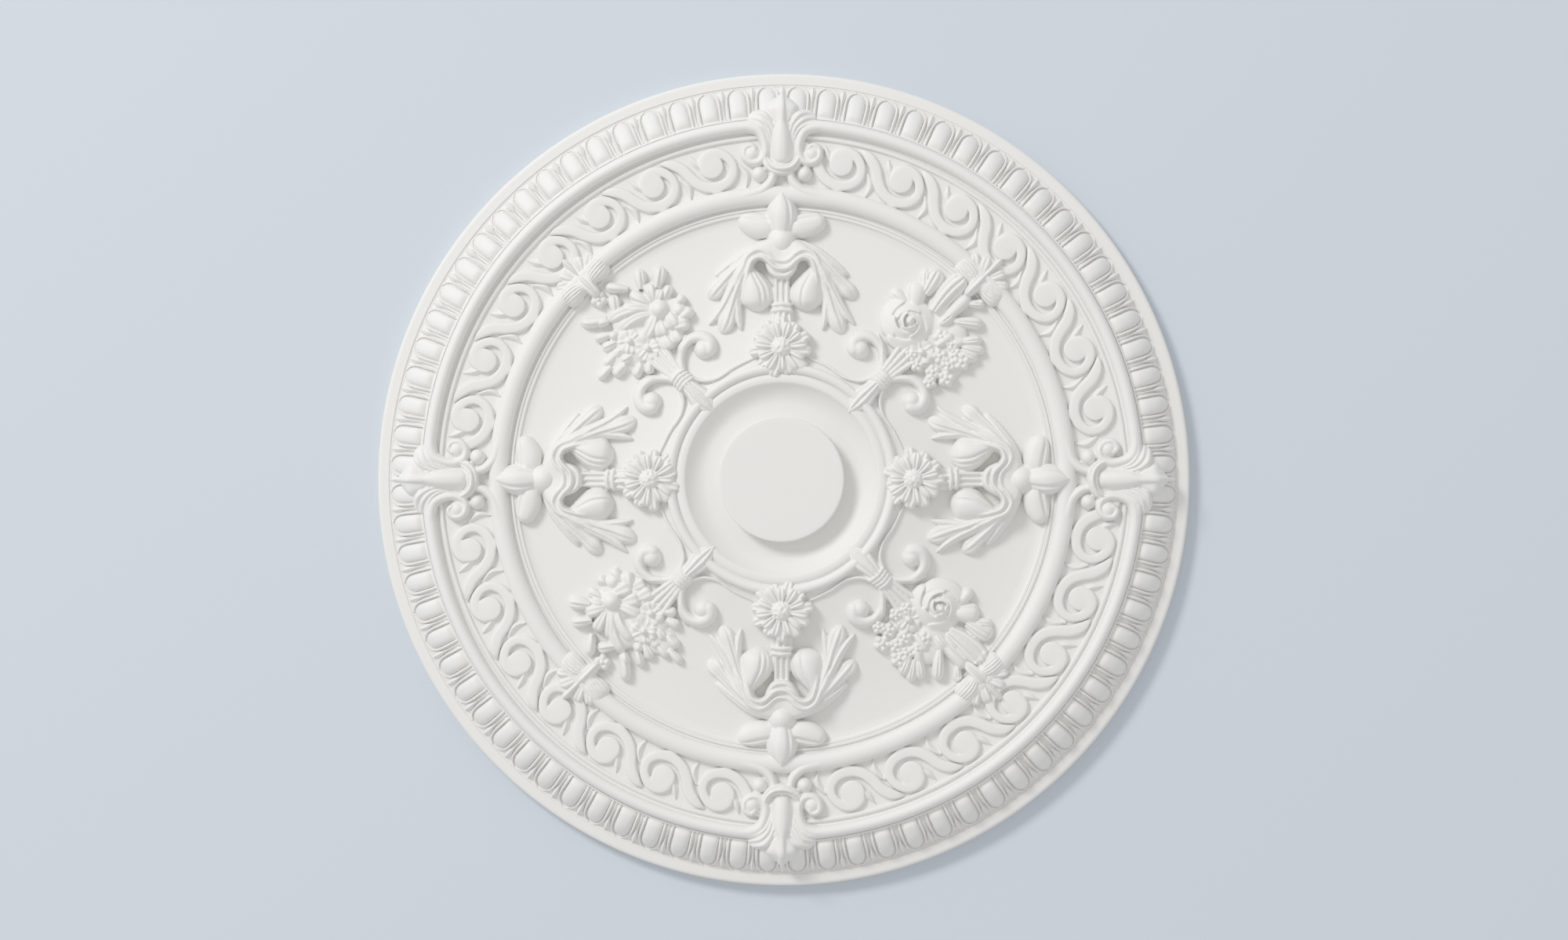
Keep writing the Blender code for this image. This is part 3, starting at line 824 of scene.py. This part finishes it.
class ROSE_OT_palmettes(bpy.types.Operator):
    """Carve the palmettes, with the roll ends and clasps that frame the scroll panels."""

    bl_idname = "rose.palmettes"
    bl_label = "Palmettes and roll ends"

    def execute(self, context):
        bm = bmesh.new()
        level = sizes().panel_height / MM
        rolls = [
            [
                (48.0, 282.2, 3.0, 6.0), (37.0, 283.9, 4.8, 8.7), (27.0, 284.6, 5.4, 9.5),
                (18.4, 281.4, 5.0, 9.8), (14.2, 273.0, 4.4, 9.6), (13.8, 263.0, 4.2, 9.4),
                (18.0, 256.8, 3.8, 9.2), (24.4, 255.8, 3.6, 9.0), (30.0, 260.4, 3.4, 8.8),
                (30.0, 267.0, 3.0, 8.6), (24.6, 269.8, 2.6, 8.6), (21.0, 266.0, 2.2, 8.8),
            ],
            [
                (40.0, 225.8, 7.4, 8.6), (28.0, 229.4, 6.4, 9.2), (15.0, 234.0, 5.0, 9.4),
                (8.2, 242.0, 4.2, 9.2), (6.2, 250.0, 3.8, 9.0),
            ],
        ]
        for roll in rolls:
            both_sides(bm, roll, along=60, across=10, level=level)
        kite = [
            [(0.0, 284.0, 13.0), (0.0, 294.0, 13.6), (0.0, 304.0, 12.0), (0.0, 313.5, 1.0)],
            [(1.6, 284.0, 12.6), (1.8, 294.0, 13.0), (1.8, 304.0, 11.4), (1.2, 312.4, 1.0)],
            [(2.0, 284.0, 10.0), (3.0, 293.0, 10.4), (3.0, 303.0, 9.6), (2.2, 311.0, 0.6)],
            [(2.4, 284.0, 9.0), (7.4, 292.6, 9.0), (10.0, 300.6, 8.4), (5.6, 308.2, 0.6)],
            [(2.8, 283.0, 5.0), (9.6, 291.6, 3.6), (14.0, 300.0, 2.4), (6.4, 308.6, -1.0)],
        ]
        both_lofts(bm, kite, along=30, across=20, level=level)
        trunk = [
            (0.0, 253.0, 7.6, 12.0), (0.0, 261.0, 9.0, 14.5), (0.0, 272.0, 9.2, 16.0),
            (0.0, 283.0, 7.6, 16.0), (0.0, 292.0, 3.6, 15.0), (0.0, 298.0, 2.0, 14.0),
        ]
        button(bm, 0.0, 264.0, 14.0, 8.0, level=level)
        band(
            bm, trunk, section=broad_dome, along=30, across=16, level=level - 2.0, ends=(0.12, 0.0)
        )
        lobe = [
            [
                (6.0, 268.0, 6.0), (5.4, 279.0, 8.0), (7.4, 289.4, 10.0), (13.0, 297.0, 10.0),
                (20.0, 299.6, 1.0),
            ],
            [
                (7.0, 267.0, 7.0), (6.4, 278.0, 10.4), (9.0, 287.8, 12.6), (15.4, 294.8, 12.6),
                (24.0, 297.2, 5.0),
            ],
            [
                (7.6, 266.0, 6.0), (7.4, 276.6, 8.8), (10.2, 286.0, 10.6), (16.8, 292.4, 10.4),
                (26.4, 294.6, 4.6),
            ],
            [
                (8.2, 265.0, 6.6), (8.4, 275.4, 10.4), (11.4, 284.4, 12.6), (18.0, 290.2, 12.4),
                (27.6, 292.2, 6.0),
            ],
            [
                (8.8, 264.0, 5.6), (9.2, 274.2, 9.0), (12.4, 282.8, 10.4), (19.0, 288.0, 10.0),
                (27.8, 289.8, 4.6),
            ],
            [
                (9.4, 263.0, 5.6), (10.0, 273.0, 9.8), (13.4, 281.2, 11.6), (20.0, 285.8, 11.0),
                (27.2, 287.4, 4.8),
            ],
            [
                (10.0, 262.0, 2.0), (11.0, 272.0, 4.0), (14.6, 279.6, 4.0), (20.6, 283.8, 4.0),
                (26.0, 285.6, 1.0),
            ],
        ]
        both_lofts(bm, lobe, along=30, across=42, level=level - 2.0)
        clasp = [
            (-14.4, 262.0, 3.0, 8.0), (-12.6, 256.8, 4.0, 11.6), (-7.6, 251.8, 4.8, 14.0),
            (0.0, 250.0, 5.2, 15.0), (7.6, 251.8, 4.8, 14.0), (12.6, 256.8, 4.0, 11.6),
            (14.4, 262.0, 3.0, 8.0),
        ]
        band(bm, clasp, section=ribbed(3, 0.26), along=40, across=30, level=level)
        for sign in (-1.0, 1.0):
            button(bm, sign * 24.4, 262.8, 7.6, 9.6, level=level)
            button(bm, sign * 18.0, 246.8, 6.6, 9.6, level=level)
        cast(bm, grain=0.6, kept_share=0.22)
        repeated(bm, QUARTER_TURNS)
        piece(bm, "palmettes", crease=NO_CREASE)
        return {"FINISHED"}


class ROSE_OT_buds(bpy.types.Operator):
    """Carve the buds with two side petals that sit across the inner roll."""

    bl_idname = "rose.buds"
    bl_label = "Buds"

    def execute(self, context):
        bm = bmesh.new()
        level = sizes().panel_height / MM
        side = [
            (4.0, 203.0, 7.0, 8.0), (11.0, 203.8, 9.6, 11.0), (21.0, 205.4, 10.6, 11.0),
            (29.0, 208.0, 8.6, 9.5), (35.6, 210.6, 4.6, 7.0),
        ]
        both_sides(bm, side, section=rimmed, along=30, across=28, level=level, ends=(0.0, 0.16))
        middle = [
            (0.0, 197.0, 8.0, 13.0), (0.0, 206.0, 12.0, 16.0), (0.0, 215.0, 13.2, 17.0),
            (0.0, 223.0, 10.4, 15.0), (0.0, 228.6, 5.0, 12.0), (0.0, 233.0, 0.6, 8.0),
        ]
        band(bm, middle, section=bud_ribs, along=32, across=28, level=level)
        button(bm, 0.0, 192.6, 12.4, 17.0)
        cast(bm, grain=0.6, kept_share=0.28)
        repeated(bm, QUARTER_TURNS)
        piece(bm, "buds", crease=NO_CREASE)
        return {"FINISHED"}


class ROSE_OT_acanthus(bpy.types.Operator):
    """Carve the spreading leaves, the stem and the cup under each daisy."""

    bl_idname = "rose.acanthus"
    bl_label = "Acanthus leaves"

    def execute(self, context):
        bm = bmesh.new()
        hood = [
            [
                (0.0, 198.0, -1.0), (16.0, 194.6, -1.0), (30.0, 184.4, -1.0), (43.0, 173.6, -1.0),
                (50.0, 164.0, -1.0),
            ],
            [
                (0.0, 193.0, 9.0), (14.0, 190.8, 11.0), (27.0, 182.0, 11.5), (38.0, 170.0, 9.5),
                (45.0, 158.0, 5.0),
            ],
            [
                (0.0, 184.0, 12.0), (12.0, 186.8, 13.5), (24.6, 179.6, 14.4), (35.0, 165.0, 14.0),
                (40.6, 147.0, 7.0),
            ],
            [
                (0.0, 175.0, 12.5), (5.0, 176.0, 13.0), (10.5, 180.8, 14.0), (20.0, 184.0, 14.0),
                (30.0, 172.0, 14.5), (36.0, 152.0, 10.0),
            ],
            [
                (0.0, 165.5, 11.0), (4.5, 166.2, 11.5), (9.6, 171.6, 12.5), (17.0, 178.0, 13.0),
                (26.0, 170.0, 12.5), (32.0, 152.0, 8.0),
            ],
        ]
        both_lofts(bm, hood, along=36, across=30)
        lobes = [
            [
                (16.0, 190.6, 3.0, 9.0), (27.0, 184.8, 4.0, 11.0), (38.0, 176.4, 4.4, 10.0),
                (47.0, 169.4, 3.6, 7.5), (54.0, 164.0, 1.4, 4.0),
            ],
            [
                (16.0, 186.6, 4.0, 13.0), (28.0, 179.0, 5.4, 13.5), (39.6, 167.6, 5.4, 12.0),
                (49.0, 157.4, 5.8, 9.5), (56.0, 149.0, 7.4, 8.5), (58.6, 145.0, 6.0, 6.5),
            ],
            [
                (20.0, 182.0, 4.0, 14.0), (31.0, 170.0, 4.6, 13.5), (39.6, 155.0, 4.6, 12.0),
                (46.6, 141.0, 4.2, 9.5), (53.0, 131.4, 3.0, 7.0), (59.4, 124.0, 0.8, 3.0),
            ],
            [
                (22.0, 179.0, 4.0, 14.0), (31.0, 165.0, 4.6, 13.5), (37.4, 150.0, 5.0, 12.0),
                (41.6, 136.0, 5.6, 10.0), (46.0, 123.6, 7.6, 8.5), (48.6, 117.0, 6.4, 6.5),
            ],
            [
                (33.0, 158.0, 2.0, 10.0), (35.2, 147.0, 2.8, 9.0), (35.4, 135.0, 3.6, 8.0),
                (34.2, 126.0, 2.6, 6.0), (32.6, 119.6, 0.8, 3.0),
            ],
        ]
        for lobe, tip in zip(lobes, (0.08, 0.2, 0.05, 0.2, 0.05)):
            both_sides(bm, lobe, section=ribbed(3, 0.2), along=36, across=22, ends=(0.0, tip))
        calf = [
            (27.0, 176.0, 3.0, 8.0), (26.4, 168.0, 7.0, 13.0), (23.6, 160.0, 10.8, 15.5),
            (20.6, 152.0, 13.8, 16.0), (19.4, 144.0, 13.6, 14.0), (18.4, 135.0, 9.0, 8.0),
        ]
        both_sides(bm, calf, section=outer_ribs, along=34, across=40, ends=(0.0, 0.22))
        lips = [
            [
                (0.0, 169.4, 3.0, 17.0), (3.6, 169.8, 3.0, 17.2), (7.2, 171.8, 3.0, 17.5),
                (11.0, 175.6, 3.0, 18.0), (17.0, 179.0, 3.0, 18.0), (23.4, 176.8, 3.0, 17.5),
                (26.8, 169.0, 3.0, 16.5), (29.0, 158.0, 2.0, 14.0),
            ],
            [
                (0.0, 175.6, 2.8, 15.5), (3.6, 176.0, 2.8, 15.7), (7.2, 178.0, 2.8, 16.0),
                (11.0, 181.8, 2.8, 16.5), (18.0, 184.8, 2.8, 16.5), (26.0, 181.4, 2.8, 16.5),
                (30.6, 173.0, 2.4, 15.5), (33.0, 162.0, 1.4, 13.0),
            ],
            [
                (0.0, 164.0, 3.4, 14.5), (3.4, 164.3, 3.4, 14.5), (6.8, 166.2, 3.2, 14.5),
                (10.2, 170.0, 2.4, 13.5), (12.6, 174.0, 1.4, 12.0),
            ],
        ]
        for lip in lips:
            both_sides(bm, lip, along=50, across=10)
        for x in (-5.0, 0.0, 5.0):
            stem = [(x, 170.0, 2.1, 8.0), (0.9 * x, 156.0, 2.1, 8.5), (0.9 * x, 141.0, 2.2, 9.0)]
            band(bm, stem, along=14, across=8)
        for y, half_width, lift in ((140.6, 8.8, 12.0), (136.0, 9.8, 12.6)):
            collar = [
                (-half_width, y - 0.8, 2.4, 0.8 * lift), (0.0, y + 0.4, 2.6, lift),
                (half_width, y - 0.8, 2.4, 0.8 * lift),
            ]
            band(bm, collar, along=18, across=10, ends=(0.14, 0.14))
        cup = [(0.0, 136.0, 9.0, 10.5), (0.0, 129.0, 9.8, 12.5), (0.0, 118.0, 11.0, 13.0)]
        band(bm, cup, section=ribbed(4, 0.3), along=14, across=34)
        cast(bm, grain=0.65, kept_share=0.24)
        repeated(bm, QUARTER_TURNS)
        piece(bm, "acanthus_leaves", crease=NO_CREASE)
        return {"FINISHED"}


class ROSE_OT_daisies(bpy.types.Operator):
    """Carve the four daisies over the ring."""

    bl_idname = "rose.daisies"
    bl_label = "Daisies"

    def execute(self, context):
        bm = bmesh.new()
        level = sizes().field_height / MM
        centre = FIELD_INNER + 13.0
        button(bm, 0.0, centre, 15.0, 7.0, level=level)
        reaches = (25.5, 23.5, 25.0, 24.5, 26.5, 23.0, 25.5, 24.0, 26.5, 24.5, 25.0)
        # The upper layer is shorter and narrower, and its petals stand over the gaps of the lower
        for layer, (shrink, lift) in enumerate(((1.0, 9.0), (0.84, 12.0))):
            for index, reach in enumerate(reaches):
                petal(
                    bm,
                    0.0,
                    centre,
                    (index + 0.5 * layer) * 360.0 / len(reaches),
                    6.0,
                    shrink * reach,
                    5.0 - 0.8 * layer,
                    lift,
                    droop=0.7,
                    blunt=True,
                    section=ribbed(2, 0.26),
                    along=16,
                    across=16,
                    level=level,
                    ends=(0.0, 0.14),
                )
        button(bm, 0.0, centre, 9.0, 12.0, seeds=24, level=level)
        cast(bm, grain=0.5, kept_share=0.27, passes=2)
        repeated(bm, QUARTER_TURNS)
        piece(bm, "daisies", crease=NO_CREASE)
        return {"FINISHED"}


class ROSE_OT_ties(bpy.types.Operator):
    """Carve the ties: bound stems, curls to each side and raised lines back to the ring."""

    bl_idname = "rose.ties"
    bl_label = "Ties and curls"

    def execute(self, context):
        bm = bmesh.new()
        field = sizes().field_height / MM
        fan = [
            (0.0, 110.0, 5.0, 8.0), (0.0, 100.0, 7.6, 9.5), (0.0, 91.0, 9.6, 9.5),
            (0.0, 83.0, 6.4, 8.0), (0.0, 76.0, 0.8, 5.0),
        ]
        band(bm, fan, section=ribbed(4, 0.26), along=24, across=28, level=field)
        for offset in (-9.5, -3.2, 3.2, 9.5):
            rod = [
                (0.4 * offset, 117.0, 2.4, 8.5), (0.65 * offset, 131.0, 2.8, 8.5),
                (offset, 150.0, 3.2, 8.0),
            ]
            band(bm, rod, along=14, across=8)
        for step in range(4):
            y = 108.6 + 3.2 * step
            half_width = 9.4 - 0.3 * step
            wrap = [
                (-half_width, y - 0.8, 1.7, 8.5), (0.0, y + 0.8, 1.9, 12.0),
                (half_width, y - 0.8, 1.7, 8.5),
            ]
            band(bm, wrap, along=18, across=8, ends=(0.15, 0.15))
        web = [
            (6.5, 109.0, 2.0, 7.0), (11.0, 101.0, 1.7, 5.0), (20.0, 94.6, 1.5, 3.6),
            (36.0, 91.0, 1.4, 3.0), (56.0, 84.0, 1.0, 2.2),
        ]
        both_sides(bm, web, along=30, across=6)
        curl = [
            (5.0, 118.0, 3.0, 7.5), (11.0, 126.0, 3.4, 8.0), (19.0, 131.4, 3.8, 8.5),
            (28.0, 132.0, 4.6, 9.0), (35.4, 127.0, 5.6, 9.5), (37.0, 119.6, 6.2, 10.0),
            (32.0, 115.6, 6.6, 10.0), (28.0, 117.0, 6.0, 10.0),
        ]
        both_sides(bm, curl, along=46, across=10, ends=(0.0, 0.08))
        sprig = [(9.0, 124.0, 2.6, 7.5), (18.0, 133.0, 3.4, 9.0), (28.0, 138.0, 0.6, 4.0)]
        both_sides(bm, sprig, section=keel, along=12, across=8)
        for sign in (-1.0, 1.0):
            button(bm, sign * 29.4, 118.2, 8.0, 10.5)
        cast(bm, grain=0.65, kept_share=0.2)
        repeated(bm, DIAGONAL_TURNS)
        piece(bm, "ties_and_curls", crease=NO_CREASE)
        return {"FINISHED"}


class ROSE_OT_sunflower_bunches(bpy.types.Operator):
    """Carve the two bunches with a sunflower."""

    bl_idname = "rose.sunflower_bunches"
    bl_label = "Sunflower bunches"

    def execute(self, context):
        bm = bmesh.new()
        leaves = (
            (28.0, 189.0, 39.0, 202.5, 5.2, 11.0, 0.0, True),
            (38.0, 181.0, 53.0, 192.0, 6.2, 11.5, 0.0, True),
            (35.0, 170.0, 47.5, 175.0, 4.6, 10.5, 0.0, True),
            (20.5, 196.5, 8.5, 211.5, 4.6, 10.5, 0.0, False),
            (0.0, 190.0, 9.5, 202.5, 5.4, 11.0, 0.0, True),
            (-8.0, 192.0, -26.0, 206.0, 4.8, 9.5, -2.0, False),
            (-9.0, 189.0, -17.0, 195.0, 4.2, 10.0, 0.0, False),
            (-14.0, 180.0, -27.5, 187.5, 4.2, 9.0, 0.0, False),
            (-16.0, 173.0, -28.5, 177.5, 4.6, 9.0, 0.0, True),
            (-14.0, 164.0, -25.0, 168.0, 4.0, 8.5, 0.0, True),
            (-24.0, 166.0, -36.5, 166.5, 4.0, 8.0, 0.0, False),
            (-33.0, 162.0, -48.0, 162.0, 3.8, 7.5, 0.0, False),
            (-24.0, 154.0, -37.0, 153.5, 4.6, 9.0, 1.5, False),
            (-15.0, 156.0, -25.0, 159.0, 4.2, 10.0, 0.0, True),
            (-14.0, 146.0, -26.0, 142.0, 4.6, 8.5, 0.0, False),
            (-7.0, 144.0, -16.0, 135.0, 4.6, 8.5, 0.0, False),
            (34.0, 150.0, 46.5, 148.5, 5.2, 11.0, 0.0, False),
            (40.0, 160.0, 49.5, 161.0, 4.4, 10.5, 0.0, False),
        )
        for x, y, end_x, end_y, half_width, lift, bow, fluted in leaves:
            section = ribbed(3, 0.2) if fluted else rimmed
            leaf(
                bm, x, y, end_x, end_y, half_width, lift, bow, section=section, along=18, across=22,
                ends=(0.0, 0.24),
            )
        # Low mounds under the bunch, so that no hole shows between its leaves
        for x, y, radius, lift in (
            (24.0, 168.0, 17.0, 9.5), (2.0, 177.0, 14.0, 8.0), (-6.0, 158.0, 17.0, 8.0),
            (18.0, 148.0, 14.0, 8.0), (33.0, 158.0, 12.0, 8.0), (-22.0, 160.0, 13.0, 5.0),
            (33.0, 180.0, 10.0, 6.0),
        ):
            button(bm, x, y, radius, lift)
        rosette(bm, -2.0, 207.5, 7.0, lift=9.5)
        for x, y, radius, lift in (
            (-14.0, 178.0, 4.6, 10.5), (-22.0, 166.0, 4.4, 8.5), (38.0, 155.0, 6.4, 11.5),
            (2.0, 160.0, 8.0, 10.0),
        ):
            button(bm, x, y, radius, lift)
        blossom(bm, -8.0, 165.5, 12.0, lift=12.5, turn=20.0)
        blossom(bm, -2.0, 151.0, 12.0, lift=11.5, turn=50.0)
        fold = (
            (20.0, 160.0, 13.0, 148.5, 7.6, 13.0, 0.0), (30.0, 160.0, 25.0, 146.0, 7.6, 14.0, 0.0),
            (24.0, 150.0, 37.0, 142.0, 6.2, 11.5, 0.0), (14.0, 150.0, 10.0, 137.0, 7.0, 11.0, 0.0),
            (23.0, 147.0, 19.0, 136.0, 6.0, 10.0, 0.0), (22.0, 172.0, -10.0, 190.0, 5.6, 13.0, 4.0),
            (20.0, 169.0, -8.5, 177.5, 5.0, 12.5, 3.0), (22.0, 166.0, 1.5, 158.5, 6.0, 13.0, -1.0),
            (22.0, 174.0, 6.5, 190.0, 5.4, 13.5, 0.0), (25.0, 176.0, 19.5, 194.0, 5.4, 14.0, 0.0),
            (28.0, 175.0, 36.0, 189.0, 5.8, 14.5, 0.0), (30.0, 172.0, 40.0, 178.0, 4.6, 13.0, 0.0),
        )
        for x, y, end_x, end_y, half_width, lift, bow in fold:
            leaf(
                bm, x, y, end_x, end_y, half_width, lift, bow, section=ribbed(2, 0.14), along=24,
                across=20, ends=(0.0, 0.2),
            )
        button(bm, 27.5, 166.5, 8.8, 17.0)
        cast(bm, grain=0.55, kept_share=0.26)
        repeated(bm, SUNFLOWER_TURNS)
        piece(bm, "sunflower_bunches", crease=NO_CREASE)
        return {"FINISHED"}


class ROSE_OT_rose_bunches(bpy.types.Operator):
    """Carve the two bunches with a full rose."""

    bl_idname = "rose.rose_bunches"
    bl_label = "Rose bunches"

    def execute(self, context):
        bm = bmesh.new()
        leaves = (
            (-28.0, 172.0, -46.0, 170.5, 5.4, 9.5, 0.0, False),
            (-22.0, 174.0, -36.0, 190.0, 9.0, 11.5, 0.0, False),
            (-24.0, 187.0, -30.0, 210.0, 8.0, 10.5, 0.0, True),
            (-27.0, 190.0, -38.0, 203.0, 4.6, 9.0, 0.0, True),
            (-9.0, 182.0, -10.0, 222.0, 9.4, 13.5, -2.0, True),
            (2.0, 184.0, 2.0, 214.0, 6.0, 11.0, 0.0, False),
            (2.0, 178.0, 4.0, 192.0, 5.2, 12.0, 0.0, True),
            (6.0, 206.0, 16.0, 216.0, 4.2, 9.0, 0.0, True),
            (8.0, 188.0, 27.0, 204.0, 5.4, 10.5, 0.0, True),
            (24.0, 180.0, 35.0, 194.0, 4.8, 10.5, 0.0, True),
            (27.0, 178.0, 43.0, 189.0, 4.4, 10.0, 0.0, True),
            (28.0, 174.0, 44.0, 180.0, 4.8, 10.5, 0.0, True),
            (12.0, 164.0, 15.0, 182.0, 5.0, 11.0, 0.0, False),
            (18.0, 170.0, 26.0, 184.0, 4.4, 10.0, 0.0, False),
        )
        for x, y, end_x, end_y, half_width, lift, bow, fluted in leaves:
            section = ribbed(4, 0.22) if fluted else rimmed
            leaf(
                bm, x, y, end_x, end_y, half_width, lift, bow, section=section, along=20, across=26,
                ends=(0.0, 0.24),
            )
        # Low mounds under the bunch, so that no hole shows between its leaves
        for x, y, radius, lift in (
            (25.0, 159.0, 17.0, 5.5), (4.0, 172.0, 16.0, 7.0), (-8.0, 188.0, 11.0, 7.0),
            (15.0, 180.0, 12.0, 7.0), (12.0, 150.0, 13.0, 5.0),
        ):
            button(bm, x, y, radius, lift)
        for x, y, radius in (
            (10.0, 172.0, 7.0), (20.0, 160.0, 7.0), (29.5, 160.0, 7.0), (35.4, 169.0, 7.4),
            (36.0, 151.0, 7.4), (25.0, 147.0, 6.6), (29.0, 139.5, 6.0), (20.0, 174.0, 6.4),
            (12.0, 142.0, 6.0), (28.0, 170.0, 6.0), (3.0, 144.0, 6.0),
        ):
            rosette(bm, x, y, radius, lift=11.5, turn=15.0 * x)
        blossom(bm, 7.5, 152.0, 12.0, lift=12.0, turn=10.0)
        # Each ring of petals stands nearer to the heart than the one outside it
        rose_x, rose_y, rose_reach = -17.5, 160.0, 18.0
        heart_x, heart_y = -17.0, 164.5
        button(bm, rose_x, rose_y, 20.0, 10.5)
        rings = (
            (3.4, 2.6, 19.0, 0.0, 2), (7.6, 3.4, 18.0, 50.0, 3), (12.4, 4.4, 15.8, 110.0, 3),
            (17.4, 5.4, 12.4, 170.0, 3),
        )
        for reach, half_width, lift, start, count in rings:
            inward = 1.0 - reach / rose_reach
            x, y = between(rose_x, heart_x, inward), between(rose_y, heart_y, inward)
            # The petals of a ring overlap, so together they go round it more than once
            sweep = 440.0 / count
            for index in range(count):
                curled_petal(
                    bm, x, y, start + index * 360.0 / count, sweep, reach, half_width, lift
                )
        button(bm, heart_x, heart_y, 4.0, 18.5)
        cast(bm, grain=0.55, kept_share=0.25)
        repeated(bm, ROSE_TURNS)
        piece(bm, "rose_bunches", crease=NO_CREASE)
        return {"FINISHED"}


class ROSE_OT_roll_leaves(bpy.types.Operator):
    """Carve the leaves that wrap the inner roll at the diagonals."""

    bl_idname = "rose.roll_leaves"
    bl_label = "Roll leaves"

    def execute(self, context):
        bm = bmesh.new()
        level = sizes().panel_height / MM
        side = [
            (1.0, 223.0, 5.0, 10.5), (10.0, 225.6, 9.6, 12.2), (19.0, 226.2, 9.8, 11.6),
            (25.0, 226.0, 7.6, 9.6),
        ]
        both_sides(
            bm, side, section=ribbed(8, 0.17), along=26, across=64, level=level, ends=(0.0, 0.2)
        )
        for x, y, end_x, end_y, half_width, lift in (
            (3.0, 230.0, 10.0, 246.0, 4.8, 9.5), (8.0, 231.0, 20.0, 239.0, 4.6, 9.0)
        ):
            for sign in (-1.0, 1.0):
                leaf(
                    bm, sign * x, y, sign * end_x, end_y, half_width, lift,
                    section=ribbed(2, 0.2), along=20, across=20, level=level, ends=(0.0, 0.24),
                )
        leaf(
            bm, 0.0, 208.0, 0.0, 234.0, 6.0, 14.0, section=ribbed(3, 0.2), along=24, across=24,
            level=level, ends=(0.2, 0.2),
        )
        leaf(
            bm, 0.0, 228.0, 0.0, 252.0, 4.2, 11.0, section=keel, along=24, across=12, level=level,
            ends=(0.0, 0.2),
        )
        cast(bm, grain=0.6, kept_share=0.3)
        repeated(bm, DIAGONAL_TURNS)
        piece(bm, "roll_leaves", crease=NO_CREASE)
        return {"FINISHED"}


class ROSE_OT_stage(bpy.types.Operator):
    """Set the floor, the light and the camera."""

    bl_idname = "rose.stage"
    bl_label = "Stage"

    def execute(self, context):
        scene = context.scene
        floor_mesh = bpy.data.meshes.new("floor")
        bm = bmesh.new()
        bmesh.ops.create_grid(bm, x_segments=1, y_segments=1, size=FLOOR_REACH)
        bm.to_mesh(floor_mesh)
        bm.free()
        floor = bpy.data.objects.new("floor", floor_mesh)
        scene.collection.objects.link(floor)
        material = bpy.data.materials.new("backdrop")
        material.use_nodes = True
        shader = material.node_tree.nodes["Principled BSDF"]
        shader.inputs["Base Color"].default_value = linear(scene.rose_finish.backdrop)
        shader.inputs["Roughness"].default_value = BACKDROP_ROUGHNESS
        shader.inputs["Specular IOR Level"].default_value = 0.0
        floor_mesh.materials.append(material)

        scene.view_settings.view_transform = "Standard"
        world = bpy.data.worlds.new("studio")
        world.use_nodes = True
        scene.world = world
        background = world.node_tree.nodes["Background"]
        background.inputs["Color"].default_value = (1.0, 1.0, 1.0, 1.0)
        background.inputs["Strength"].default_value = SKY_STRENGTH

        key_data = bpy.data.lights.new("key", "AREA")
        key_data.shape = "DISK"
        key_data.size = KEY_WIDTH
        key_data.energy = KEY_POWER
        key = bpy.data.objects.new("key", key_data)
        key.location = KEY_PLACE
        key.rotation_euler = (-Vector(key.location)).to_track_quat("-Z", "Y").to_euler()
        scene.collection.objects.link(key)

        camera_data = bpy.data.cameras.new("camera")
        camera_data.sensor_width = SENSOR_MM
        camera_data.lens = LENS_MM
        camera = bpy.data.objects.new("camera", camera_data)
        distance = VIEW_WIDTH * LENS_MM / SENSOR_MM
        camera.location = (CAMERA_LEAN_X * distance, CAMERA_LEAN_Y * distance, distance)
        back = (camera.location - Vector(AIM)).normalized()
        right = Vector((0.0, 1.0, 0.0)).cross(back).normalized()
        camera.rotation_euler = Matrix((right, back.cross(right), back)).transposed().to_euler()
        camera_data.shift_y = PHOTO_SHIFT / PHOTO_WIDTH
        camera_data.clip_end = CLIP_END
        scene.collection.objects.link(camera)
        scene.camera = camera
        return {"FINISHED"}


PIECES = (
    ROSE_OT_body,
    ROSE_OT_eggs,
    ROSE_OT_scrolls,
    ROSE_OT_palmettes,
    ROSE_OT_buds,
    ROSE_OT_acanthus,
    ROSE_OT_daisies,
    ROSE_OT_ties,
    ROSE_OT_sunflower_bunches,
    ROSE_OT_rose_bunches,
    ROSE_OT_roll_leaves,
)


class ROSE_PT_panel(bpy.types.Panel):
    """The pieces of the rose and its stage."""

    bl_idname = "ROSE_PT_panel"
    bl_label = "Ceiling rose"
    bl_space_type = "VIEW_3D"
    bl_region_type = "UI"
    bl_category = "Rose"

    def draw(self, context):
        for operator in (*PIECES, ROSE_OT_stage):
            self.layout.operator(operator.bl_idname)


CLASSES = (RoseSizes, RoseFinish, *PIECES, ROSE_OT_stage, ROSE_PT_panel)


def register():
    for item in CLASSES:
        bpy.utils.register_class(item)
    bpy.types.Scene.rose_sizes = PointerProperty(type=RoseSizes)
    bpy.types.Scene.rose_finish = PointerProperty(type=RoseFinish)


def unregister():
    del bpy.types.Scene.rose_finish
    del bpy.types.Scene.rose_sizes
    for item in reversed(CLASSES):
        bpy.utils.unregister_class(item)


def main():
    register()
    for operator in (*PIECES, ROSE_OT_stage):
        group, name = operator.bl_idname.split(".")
        getattr(getattr(bpy.ops, group), name)()


if __name__ == "__main__":
    main()
